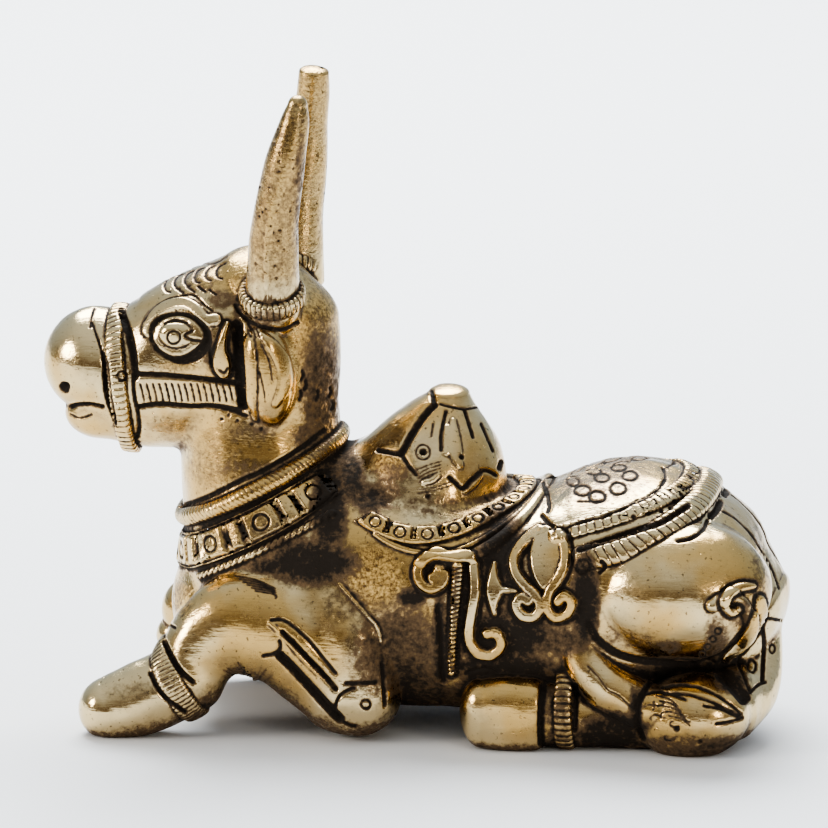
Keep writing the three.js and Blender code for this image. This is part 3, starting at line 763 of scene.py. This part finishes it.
def cloth_strokes():
    rings = ((572, 481, 6, 4), (593, 471, 7, 3), (618, 467, 7.5, 3), (601, 477, 7.5, 4.5),
             (629, 475, 7.5, 4.5), (581, 490, 8, 5), (596, 496, 8, 5.5), (617, 488, 8, 5.5))
    punched([(0.2, 0.28, *ring_at) for ring_at in rings])
    ring_by_rope = 0.25, 0.35, 582, 565, 6.5, 6.5
    loop_at_corner = 0.22, 0.28, 684, 481, 9, 6, -110, 130
    punched((ring_by_rope, loop_at_corner))
    edges = (
        (0.34, 0.45, (541, 479), (546, 491), (548, 504), (547, 511)),
        (0.36, 0.5, (541, 515), (548, 523), (556, 527), (566, 531)),
        (0.15, 0.2, (577, 501), (598, 500)),
        (0.5, 0.7, (578, 549), (600, 541), (620, 534), (640, 528), (656, 523), (671, 515), (686, 506)),
        (0.3, 0.5, (598, 572), (604, 566), (600, 560)),
        (0.34, 0.5, (676, 540), (690, 537), (700, 530), (706, 520)),
        (0.6, 0.8, (710, 515), (716, 509), (719, 502)),
        (0.2, 0.3, (722, 511), (736, 520), (749, 533), (758, 547), (766, 560), (773, 574), (778, 588)),
    )
    chased(edges)
    dotted_line = ((566, 527), (575, 523), (590, 519), (601, 517), (610, 513), (618, 510), (626, 506),
                   (634, 502), (641, 499), (648, 496), (655, 491), (660, 486), (664, 479), (664, 471),
                   (661, 463))
    thin, thick = (0.2, 0.25), (0.3, 0.4)
    chased([(*(thick if k % 2 else thin), *ends) for k, ends in enumerate(zip(dotted_line, dotted_line[1:]))])
    beside_rope = (632, 516), (647, 513), (660, 511), (669, 508), (673, 501), (680, 494)
    dots(0.3, 0.35, beside_rope)


def flank_scrolls():
    scrolls = (
        (0.72, 0.8, (470, 556), (452, 556), (436, 554), (424, 559), (418, 570), (421, 582), (431, 588),
         (442, 583), (445, 574), (438, 569)),
        (0.75, 0.85, (473, 562), (475, 589), (471, 615), (469, 636), (477, 650), (491, 653), (501, 644),
         (497, 632), (487, 632)),
        (0.72, 0.85, (540, 531), (525, 541), (514, 556), (515, 571), (524, 584), (535, 594), (540, 605),
         (534, 615), (522, 614), (516, 604), (521, 596), (528, 600)),
        (0.7, 0.85, (560, 534), (565, 550), (563, 567), (556, 581), (548, 593), (547, 606), (555, 616),
         (567, 612), (571, 601), (564, 594), (558, 600)),
    )
    leaf = 2.1, 0.8, (547, 533, 0.9), (546, 545, 1.9), (545, 558, 2.15), (544, 572, 1.6), (543, 585, 0.5)
    star = 1.1, 0.6, (494, 563, 0.3), (493, 577, 0.7), (494, 589, 1.15), (493, 601, 0.65), (494, 613, 0.25)
    star_arm = 0.6, 0.5, (494, 589, 0.7), (505, 589, 0.4), (515, 590, 0.15)
    knob = 0.9, 0.8, (434, 577), (435, 578)
    strap = 0.7, 0.25, (457, 566, 0.75), (455, 600, 0.65), (452, 640, 0.55), (451, 671, 0.45)
    strands((*scrolls, leaf, star, strap))
    strands([star_arm], halo=0.2)
    strands([knob], halo=0)
    strap_left, strap_right, strap_top, strap_foot, hatch_pitch = 449, 462, 568, 670, 4.4
    hatching = []
    for v in np.arange(strap_top, strap_foot, hatch_pitch):
        left, right = strap_left - (v - strap_top) * 0.02, strap_right - (v - strap_top) * 0.06
        hatching.append((0.13, 0.25, (left, v + 2), (right, v - 1)))
    beside_strap = (
        (0.5, 0.6, (437, 606), (440, 630), (441, 655), (443, 680)),
        (0.3, 0.3, (465, 672), (474, 669), (486, 667), (497, 672)),
    )
    chased(hatching)
    chased(beside_strap)


def hind_strokes():
    leg_lines = (
        (0.55, 0.7, (543, 684), (541, 702), (540, 722), (541, 742)),
        (0.4, 0.5, (574, 684), (575, 704), (574, 728)),
        (0.6, 0.6, (588, 622), (596, 638), (612, 650), (634, 658), (660, 661), (690, 662)),
        (0.13, 0.2, (586, 664), (598, 676), (606, 688), (618, 694), (630, 706), (641, 712)),
    )
    chased(leg_lines)


def tail_strokes():
    ribbon = 0.9, 0.5, (758, 598, 0.5), (758, 611, 0.85), (752, 627, 0.9), (740, 642, 0.85), (725, 657, 0.6)
    hook = (0.65, 0.55, (750, 585, 0.4), (738, 586, 0.6), (727, 592, 0.65), (722, 602, 0.6), (728, 611, 0.5),
            (736, 608, 0.4))
    strands((ribbon, hook), left_only=True)
    leaf = (
        (0.26, 0.4, (762, 617), (770, 618), (781, 620)),
        (0.34, 0.5, (762, 628), (763, 642), (762, 660), (761, 679)),
        (0.26, 0.4, (759, 632), (748, 646), (737, 660), (743, 676), (749, 691)),
        (1.1, 0.8, (720, 672), (732, 684), (742, 696)),
        (0.26, 0.4, (749, 691), (756, 684), (764, 681)),
    )
    tuft_edge = 0.5, 0.6, (655, 674, 0.35), (645, 686, 0.5), (637, 702, 0.6), (636, 720, 0.6), (642, 738, 0.4)
    hairs = (
        (0.24, 0.4, (660, 686), (680, 683), (702, 687), (722, 698), (740, 712)),
        (0.24, 0.4, (662, 692), (688, 693), (714, 702), (738, 714)),
        (0.24, 0.4, (702, 704), (718, 707), (736, 715)),
        (0.24, 0.4, (714, 722), (728, 720), (741, 716)),
        (0.24, 0.4, (640, 694), (655, 690), (668, 692), (684, 698)),
        *((0.13, 0.18, (655 + 3 * k, 694 + 5 * k), (667 + 3 * k, 697 + 5 * k), (676 + 3 * k, 704 + 5 * k))
          for k in range(5)),
    )
    for lines in (leaf, [tuft_edge], hairs):
        chased(lines, left_only=True)
    ring_row = (716, 630), (711, 638), (706, 646), (701, 653)
    curls = ((657, 701, 0), (664, 713, 90), (673, 722, 40), (654, 716, 150), (668, 736, 0), (686, 717, 60),
             (648, 706, 200))
    rings = (
        *((0.17, 0.25, u, v, 3, 3) for u, v in ring_row),
        (0.18, 0.25, 750.5, 665, 4.2, 6),
        (0.16, 0.22, 771, 648, 2.6, 4.2),
        *((0.13, 0.16, u, v, 5, 3, turn, turn + 210) for u, v, turn in curls),
    )
    punched(rings, left_only=True)
    pit_in_tuft, pit_below = (675, 727), (698, 740)
    dots(0.42, 0.4, [pit_in_tuft], left_only=True)
    dots(0.3, 0.3, [pit_below], left_only=True)


for strokes_of in (head_strokes, neck_strokes, hump_strokes, foreleg_strokes, cloth_strokes, flank_scrolls,
                   hind_strokes, tail_strokes):
    strokes_of()

# Dark patches, partly patina and dirt that stayed and partly painted shade where parts meet, low down and on
# shaded sides: the middle and reach of each in the photograph, and how dark it is.
HEAD_STAINS = [(205, 281, 32, 16, 0.28), (212, 352, 12, 26, 0.4), (150, 348, 12, 26, 0.26),
               (262, 318, 34, 10, 0.4), (222, 300, 16, 12, 0.5), (238, 345, 8, 50, 0.5),
               (176, 424, 40, 16, 0.23)]
HORN_STAINS_AND_SHADE = [(280, 200, 60, 150, 0.26), (301, 200, 9, 100, 0.42)]
NECK_STAINS_AND_SHADE = [(250, 468, 60, 12, 0.36), (310, 436, 26, 16, 0.5), (322, 388, 26, 80, 0.56),
               (320, 400, 14, 26, 0.5), (215, 462, 50, 44, 0.23), (250, 432, 34, 16, 0.34),
               (260, 532, 80, 26, 0.24), (330, 508, 20, 52, 1.0)]
BACK_STAINS_AND_SHADE = [(352, 478, 16, 30, 0.8), (372, 498, 26, 18, 0.75), (385, 492, 24, 20, 0.5),
               (392, 474, 30, 16, 0.4), (440, 506, 66, 15, 0.36), (596, 480, 70, 36, 0.33)]
FLANK_STAINS_AND_SHADE = [(412, 597, 16, 11, 1.0), (440, 640, 9, 60, 0.8), (500, 560, 26, 62, 0.95),
                (505, 635, 60, 30, 0.95), (464, 610, 7, 60, 0.9), (584, 600, 16, 52, 1.0),
                (560, 640, 40, 20, 0.6), (398, 650, 55, 58, 0.6), (500, 664, 66, 13, 0.9),
                (345, 602, 34, 26, 0.3)]
FORELEG_STAINS_AND_SHADE = [(276, 566, 36, 10, 0.8), (300, 548, 40, 14, 0.7), (312, 562, 50, 26, 1.0),
                  (215, 700, 24, 22, 0.3), (135, 690, 40, 14, 0.22)]
HIND_STAINS_AND_SHADE = [(668, 645, 17, 9, 0.55), (668, 662, 34, 9, 0.7), (610, 728, 38, 18, 0.85),
               (555, 705, 24, 40, 0.34), (655, 680, 30, 14, 0.4), (620, 640, 60, 14, 0.3),
               (760, 560, 16, 60, 0.28), (690, 740, 60, 12, 0.3)]
TAIL_STAINS = [(634, 706, 8, 26, 0.7), (714, 640, 15, 34, 0.5), (742, 612, 22, 20, 0.4),
               (730, 680, 20, 14, 0.8)]
STAINS_AND_SHADE = HEAD_STAINS + HORN_STAINS_AND_SHADE + NECK_STAINS_AND_SHADE + BACK_STAINS_AND_SHADE + FLANK_STAINS_AND_SHADE + FORELEG_STAINS_AND_SHADE + HIND_STAINS_AND_SHADE
# Places that were never polished, and one kept bright by hands, where neither dirt nor painted shade stays in
# the hollows.
GRAINY = [(375, 577, 34, 42, 1.0), (424, 618, 22, 18, 0.8), (392, 462, 30, 24, 0.8), (182, 598, 18, 26, 0.7),
          (238, 285, 14, 20, 0.6), (265, 527, 80, 34, 0.5), (450, 532, 84, 15, 0.5), (622, 640, 50, 26, 0.4),
          (600, 484, 74, 30, 0.42), (320, 350, 34, 96, 0.7), (180, 367, 36, 8, 0.6)]
RUBBED_AND_UNSHADED = [(289, 372, 16, 52, 0.9)]


def measured(path, u, v):
    """Distance in millimetres from each place to a path, less the path's half width there."""
    best = np.full(len(u), 1e9)
    for p, q in zip(path, path[1:]):
        e = q[:2] - p[:2]
        t = np.clip(((u - p[0]) * e[0] + (v - p[1]) * e[1]) / max(e @ e, 1e-6), 0, 1)
        d = np.hypot(u - p[0] - t * e[0], v - p[1] - t * e[1]) * MM_PER_PIXEL
        best = np.minimum(best, d - (p[2] + (q[2] - p[2]) * t))
    return best


def patched(patches, u, v):
    """How strongly patches lie on each place; a patch fades out beyond its reach."""
    value = np.zeros(len(u))
    for cu, cv, ru, rv, tone in patches:
        r = np.hypot((u - cu) / ru, (v - cv) / rv)
        np.maximum(value, tone * np.clip(1.6 - 1.3 * r, 0, 1), out=value)
    return value


SEAM = 1.2  # the photograph's own view holds as far as this beyond the middle
RAMP = 0.34  # width of a strand's side
BLEED = 0.16  # how far the dirt of a stroke spreads beside it
ROOM = 0.6  # what is looked at round a stroke


def carved(points, normals):
    """How far the chasing moves each point, its own patina and painted shade, and where the metal is grainy
    or rubbed free of dark.
    """
    move, ink_and_shade, raw, rubbed_and_unshaded = (np.zeros(len(points)) for _ in range(4))
    for side in (NEAR_SIDE, FAR_SIDE):
        left = side is NEAR_SIDE
        u, v, shown = seen(points * side, normals * side)
        at = np.flatnonzero(shown & ((points[:, 1] < SEAM) == left))
        u, v = u[at], v[at]
        lift, sink, foot, tone_at = (np.zeros(len(at)) for _ in range(4))

        def near(path):
            room = (path[:, 2].max() + ROOM) / MM_PER_PIXEL
            return np.flatnonzero((u > path[:, 0].min() - room) & (u < path[:, 0].max() + room)
                                  & (v > path[:, 1].min() - room) & (v < path[:, 1].max() + room))
        for path, height, left_only, halo in RAISES:
            if left or not left_only:
                i = near(path)
                d = measured(path, u[i], v[i])
                step = np.clip(0.5 - d / RAMP, 0, 1)
                lift[i] = np.maximum(lift[i], height * step * step * (3 - 2 * step))
                if halo:
                    foot[i] = np.maximum(foot[i], gap(d - 0.3, halo + 0.12) * (d > 0))
        foot *= lift < 0.15
        for path, half, depth, left_only in CUTS:
            if left or not left_only:
                i = near(path)
                d = measured(path, u[i], v[i])
                sink[i] = np.maximum(sink[i], depth * np.clip(-d / half, 0, 1) ** 0.7)
                tone_at[i] = np.maximum(tone_at[i], np.clip(0.35 - d / BLEED, 0, 1))
        # Dark patches: stains and painted shade.
        stains_and_shade = patched(STAINS_AND_SHADE + (TAIL_STAINS if left else []), u, v) * (lift < 0.1)
        move[at] = lift - sink - 0.12 * foot
        ink_and_shade[at] = np.maximum(np.maximum(foot, tone_at), stains_and_shade)
        raw[at], rubbed_and_unshaded[at] = patched(GRAINY, u, v), patched(RUBBED_AND_UNSHADED, u, v)
    return move, ink_and_shade, raw, rubbed_and_unshaded


# Low waves left by filing and polishing.
waves = rng.normal(size=(14, 3))
waves *= (2 * np.pi / rng.uniform(3.5, 11, 14) / np.linalg.norm(waves, axis=1))[:, None]
ripple = np.sin(points @ waves.T + rng.uniform(0, 6.3, 14)).sum(1) * 0.018
move, ink_and_shade, raw, rubbed_and_unshaded = carved(points, normals)
points = points + normals * (averaged(move, 1) + ripple)[:, None]
points[points[:, 2] < 0, 2] = 0
bare_normals = normals
normals = mesh_normals(points, quads)


def closed_in(points, ways):
    """How much of the room before each point is taken by the figure itself, from 0 to 1."""
    out = np.zeros(len(points))
    for far, share in ((1.0, 0.3), (2.2, 0.35), (3.1, 0.35)):
        out += share * np.clip(1 - whole(points + ways * far) / far, 0, 1)
    return out


fine, mid = hollow(3), hollow(18)
# Painted shade where the figure closes in on itself, taken off at the rubbed place; it also dulls the polish.
shade = closed_in(points, bare_normals) * (1 - rubbed_and_unshaded)
# Painted shade underneath: what faces down near the ground is darkened, and it is left unpolished too.
shaded_and_unpolished_underside = np.clip((-normals[:, 2] - 0.25) / 0.5, 0, 1) * np.clip((16 - points[:, 2]) / 10, 0, 1)
crease = (np.clip(fine / 0.035, 0, 1) * 0.75 + np.clip(mid / 0.1, 0, 1) * 0.75) * (1 - rubbed_and_unshaded)
# dark: chased lines, stains and patina in the hollows, plus painted shade from closed-in places, undersides
# and shade patches.
dark = np.maximum(ink_and_shade, crease) + 0.9 * np.clip(shade - 0.3, 0, 1) + 0.55 * shaded_and_unpolished_underside
dark = np.clip(averaged(np.clip(dark, 0, 1), 1), 0, 1)
# What faces down or lies low is polished least.
stands_out = averaged(np.clip(-mid / 0.08, -1, 1), 1)
worn = np.clip(stands_out * 0.35 + 0.62 + 0.5 * normals[:, 2] - 0.35 * shade, 0, 1)
# The horns are duller and rougher than the rest.
horns_begin = 65
on_horns = np.clip((points[:, 2] - horns_begin) / 3, 0, 1)
worn *= 1 - 0.6 * on_horns
raw = np.clip(np.maximum(raw, 0.5 * on_horns) + 0.8 * np.clip(shade - 0.2, 0, 1), 0, 1)


def piece(name, keep, points, faces, normals, values):
    """A mesh object of the faces kept, in metres, with its values as point attributes."""
    faces = faces[keep]
    used, index = np.unique(faces, return_inverse=True)
    index = index.reshape(faces.shape)
    me = bpy.data.meshes.new(name)
    me.vertices.add(len(used))
    me.vertices.foreach_set("co", ((points[used] + SOLID_SHIFT) * MM).ravel())
    me.loops.add(index.size)
    me.loops.foreach_set("vertex_index", index.ravel())
    me.polygons.add(len(index))
    me.polygons.foreach_set("loop_start", np.arange(len(index)) * index.shape[1])
    me.polygons.foreach_set("use_smooth", np.ones(len(index), bool))
    me.update(calc_edges=True)
    for key, value in values.items():
        me.attributes.new(key, "FLOAT", "POINT").data.foreach_set("value", value[used].astype(np.float32))
    if normals is not None:
        me.normals_split_custom_set_from_vertices(normals[used])
    ob = bpy.data.objects.new(name, me)
    bpy.context.scene.collection.objects.link(ob)
    return ob


def decimated(ob, faces):
    """The mesh with fewer triangles, fewest where it is smooth."""
    mod = ob.modifiers.new("fewer", "DECIMATE")
    mod.ratio = min(1.0, faces / (2 * len(ob.data.polygons)))
    mod.use_collapse_triangulate = True
    done = bpy.data.meshes.new_from_object(ob.evaluated_get(bpy.context.evaluated_depsgraph_get()))
    me = ob.data
    n = len(done.vertices)
    co, read = np.empty(n * 3, np.float32), {}
    done.vertices.foreach_get("co", co)
    tri = np.empty(len(done.polygons) * 3, np.int32)
    done.loops.foreach_get("vertex_index", tri)
    for a in done.attributes:
        if a.data_type == "FLOAT" and a.domain == "POINT":
            read[a.name] = np.empty(n, np.float32)
            a.data.foreach_get("value", read[a.name])
    bpy.data.objects.remove(ob)
    bpy.data.meshes.remove(me)
    bpy.data.meshes.remove(done)
    return co.reshape(-1, 3) / MM - SOLID_SHIFT, tri.reshape(-1, 3), read


NORMAL_PARTS = ("nx", "ny", "nz")
values = {"dark": dark, "raw": raw, "worn": worn, **dict(zip(NORMAL_PARTS, normals.T))}
whole_mesh = piece("whole", slice(None), points, quads, None, values)
points, faces, values = decimated(whole_mesh, FACES_IN_ALL)
normals = unit_rows(np.stack([values.pop(k) for k in NORMAL_PARTS], 1).astype(float))


def brass():
    """Cast brass: polished and a little tarnished, grainy where it was left, dark in its hollows, with
    painted shade where the figure closes in on itself and underneath.
    """
    m = bpy.data.materials.new("worn_brass")
    m.use_nodes = True
    nodes, links = m.node_tree.nodes, m.node_tree.links
    shader = nodes["Principled BSDF"]
    place = nodes.new("ShaderNodeTexCoord").outputs["Object"]

    def put(socket, v):
        if isinstance(v, (int, float, tuple)):
            socket.default_value = v
        else:
            links.new(v, socket)

    def value(name):
        n = nodes.new("ShaderNodeAttribute")
        n.attribute_name = name
        return n.outputs["Fac"]

    def noise(size, detail=3.0, rough=0.5, stretch=None):
        """Noise whose lumps are about so many millimetres wide."""
        n = nodes.new("ShaderNodeTexNoise")
        n.inputs["Scale"].default_value = 0.5 / (size * MM)
        n.inputs["Detail"].default_value, n.inputs["Roughness"].default_value = detail, rough
        at = place
        if stretch:
            turn = nodes.new("ShaderNodeMapping")
            turn.inputs["Rotation"].default_value, turn.inputs["Scale"].default_value = stretch
            links.new(place, turn.inputs["Vector"])
            at = turn.outputs["Vector"]
        links.new(at, n.inputs["Vector"])
        return n.outputs["Fac"]

    def ranged(v, a, b, c=0.0, d=1.0):
        n = nodes.new("ShaderNodeMapRange")
        n.interpolation_type = "SMOOTHSTEP"
        for name, w in zip(("Value", "From Min", "From Max", "To Min", "To Max"), (v, a, b, c, d)):
            put(n.inputs[name], w)
        return n.outputs["Result"]

    def maths(kind, a, b):
        n = nodes.new("ShaderNodeMath")
        n.operation = kind
        put(n.inputs[0], a)
        put(n.inputs[1], b)
        return n.outputs[0]

    add, times, most, less = (partial(maths, kind) for kind in ("ADD", "MULTIPLY", "MAXIMUM", "SUBTRACT"))

    def mix(factor, a, b):
        n = nodes.new("ShaderNodeMix")
        n.data_type = "RGBA"
        put(n.inputs["Factor"], factor)
        put(n.inputs[6], a)
        put(n.inputs[7], b)
        return n.outputs[2]

    # The dark value brings patina and painted shade into the colour.
    dark_at, raw_at, worn_at = value("dark"), value("raw"), value("worn")
    uneven_edge = add(times(dark_at, 1.5), 0.35)
    broken = add(dark_at, times(less(noise(0.45, 4, 0.65), 0.5), uneven_edge))
    cloudy, spotty, speckled = noise(7, 3), noise(2.2, 4, 0.6), noise(0.26, 3, 0.7)

    # Colours, from the polished metal down to the black in the deepest lines; the patina and black colours
    # also paint shade.
    pale, deep = (0.68, 0.53, 0.29, 1), (0.58, 0.38, 0.14, 1)
    dull, brown = (0.43, 0.30, 0.135, 1), (0.30, 0.20, 0.10, 1)
    gold, between_grains, speck = (0.70, 0.46, 0.16, 1), (0.16, 0.09, 0.035, 1), (0.09, 0.055, 0.03, 1)
    patina_and_shade, black_and_deep_shade = (0.14, 0.09, 0.05, 1), (0.02, 0.015, 0.011, 1)
    polished = mix(ranged(cloudy, 0.4, 0.6), pale, deep)
    tarnish = times(ranged(spotty, 0.5, 0.72, 0.0, 0.65), ranged(worn_at, 0.3, 0.7, 1.0, 0.4))
    polished = mix(ranged(worn_at, 0.15, 0.62, 0.72, 0.0), polished, dull)
    polished = mix(tarnish, polished, brown)
    golden = mix(ranged(speckled, 0.35, 0.65), gold, between_grains)
    metal = mix(ranged(raw_at, 0.2, 0.8), polished, golden)
    # Specks of dirt all over, most of them where the metal was left rough.
    specks = ranged(add(noise(0.3, 3, 0.6), times(raw_at, 0.06)), 0.62, 0.7, 0.0, 0.8)
    metal = mix(specks, metal, speck)
    metal = mix(ranged(broken, 0.12, 0.45), metal, patina_and_shade)
    metal = mix(ranged(broken, 0.4, 0.85), metal, black_and_deep_shade)
    links.new(metal, shader.inputs["Base Color"])
    links.new(ranged(broken, 0.3, 0.8, 1.0, 0.0), shader.inputs["Metallic"])
    shader.inputs["Specular IOR Level"].default_value = 0.12

    # Roughness, from the polish to the grain and the dirt.
    rough = add(ranged(cloudy, 0.3, 0.7, 0.13, 0.22), times(tarnish, 0.3))
    rough = add(rough, times(ranged(speckled, 0.4, 0.7), 0.06))
    rough = most(rough, ranged(raw_at, 0.2, 0.8, 0.0, 0.46))
    rough = most(rough, ranged(broken, 0.1, 0.7, 0.0, 0.75))
    links.new(rough, shader.inputs["Roughness"])

    # Casting grain, pores, and fine scratches from polishing.
    uneven = ranged(most(raw_at, dark_at), 0.1, 0.7, 0.25, 2.6)
    grain = times(noise(0.28, 3, 0.6), uneven)
    pores = nodes.new("ShaderNodeTexVoronoi")
    pores.inputs["Scale"].default_value = 0.55 / MM
    links.new(place, pores.inputs["Vector"])
    pit_fields = ranged(noise(3.5, 1), 0.5, 0.62)
    pits = times(ranged(pores.outputs["Distance"], 0.06, 0.13, -1.6, 0.0), pit_fields)
    scratches = add(noise(0.35, 2, 0.5, ((0.3, 0.5, 0.9), (0.12, 1.6, 1.2))),
                    noise(0.3, 2, 0.5, ((0.9, -0.4, -0.6), (0.1, 1.8, 1.4))))
    beaten = add(times(noise(2.6, 2), 3.0), times(noise(1.1, 2), 1.3))
    polishing = add(beaten, times(scratches, 0.55))
    heights = add(add(grain, pits), polishing)
    bump = nodes.new("ShaderNodeBump")
    bump.inputs["Strength"].default_value, bump.inputs["Distance"].default_value = 0.8, 0.06 * MM
    links.new(heights, bump.inputs["Height"])
    links.new(bump.outputs["Normal"], shader.inputs["Normal"])
    return m


material = brass()
middle = points[faces].mean(1)[:, 0]
NAMES = ("casting_head", "casting_breast", "casting_flank", "casting_rump")
cuts = np.quantile(middle, np.linspace(0, 1, len(NAMES) + 1))
cuts[-1] += 1
for name, start, end in zip(NAMES, cuts, cuts[1:]):
    ob = piece(name, (middle >= start) & (middle < end), points, faces, normals, values)
    ob.data.materials.append(material)
    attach(ob, "root")
    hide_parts("nandi_bull")

# The plain pale floor.
bpy.ops.mesh.primitive_plane_add(size=6, location=(0, 0, 0))
floor = bpy.context.object
floor.name = "floor"
pale = bpy.data.materials.new("pale_floor")
pale.use_nodes = True
pale.node_tree.nodes["Principled BSDF"].inputs["Base Color"].default_value = (0.9, 0.9, 0.9, 1)
pale.node_tree.nodes["Principled BSDF"].inputs["Roughness"].default_value = 0.7
floor.data.materials.append(pale)


def soft_light(name, place, target, size, power, colour):
    data = bpy.data.lights.new(name, "AREA")
    data.shape, data.size, data.energy, data.color = "DISK", size, power, colour
    ob = bpy.data.objects.new(name, data)
    bpy.context.scene.collection.objects.link(ob)
    ob.location = place
    way = np.array(target) - np.array(place)
    ob.rotation_euler = Vector(way).to_track_quat("-Z", "Y").to_euler()


soft_light("behind_above", (-0.1, 0.45, 0.6), (0, 0.16, 0), 0.6, 13, (0.93, 0.97, 1.0))
soft_light("front_left", (-0.85, -0.4, 0.34), (0, 0, 0.05), 0.36, 5, (1.0, 0.95, 0.87))
soft_light("front_right", (0.7, -0.7, 0.3), (0, 0, 0.03), 0.2, 1.5, (1.0, 0.90, 0.74))
bpy.context.scene.view_settings.look = "AgX - Medium High Contrast"
world = bpy.data.worlds.new("studio")
bpy.context.scene.world = world
world.use_nodes = True
# Soft light from above that falls off to a dim, warm room at eye level.
nodes, links = world.node_tree.nodes, world.node_tree.links
way = nodes.new("ShaderNodeSeparateXYZ")
links.new(nodes.new("ShaderNodeTexCoord").outputs["Generated"], way.inputs["Vector"])
sky = nodes.new("ShaderNodeValToRGB")
sky.color_ramp.elements[0].position, sky.color_ramp.elements[0].color = 0.0, (0.13, 0.10, 0.07, 1)
sky.color_ramp.elements[1].position, sky.color_ramp.elements[1].color = 0.9, (0.80, 0.86, 0.92, 1)
for at, colour in ((0.14, (0.17, 0.13, 0.09, 1)), (0.4, (0.42, 0.42, 0.41, 1))):
    sky.color_ramp.elements.new(at).color = colour
links.new(way.outputs["Z"], sky.inputs["Fac"])
behind = nodes.new("ShaderNodeMapRange")
behind.inputs["From Min"].default_value, behind.inputs["From Max"].default_value = -0.25, 0.9
links.new(way.outputs["Y"], behind.inputs["Value"])
blend = nodes.new("ShaderNodeMix")
blend.data_type = "RGBA"
blend.inputs[7].default_value = (0.56, 0.68, 0.82, 1)
links.new(behind.outputs["Result"], blend.inputs["Factor"])
links.new(sky.outputs["Color"], blend.inputs[6])
links.new(blend.outputs[2], nodes["Background"].inputs["Color"])
nodes["Background"].inputs["Strength"].default_value = 1.0

# The camera stands far off, so that its view is nearly the photograph's own.
DISTANCE = 4.5
middle_of_photo = (PHOTO / 2 - ORIGIN_U) * ACROSS + (ORIGIN_V - PHOTO / 2) * UP
aim = SOLID_SHIFT * MM + middle_of_photo * MM_PER_PIXEL * MM
data = bpy.data.cameras.new("camera")
data.sensor_width, data.clip_start, data.clip_end = 36, 0.01, 20
data.lens = 36 * DISTANCE / (PHOTO * MM_PER_PIXEL * MM)
camera = bpy.data.objects.new("camera", data)
bpy.context.scene.collection.objects.link(camera)
camera.location = aim + BACK * DISTANCE
camera.rotation_mode = "QUATERNION"
camera.rotation_quaternion = Vector(-BACK).to_track_quat("-Z", "Y")
bpy.context.scene.camera = camera

bpy.context.view_layer.update()
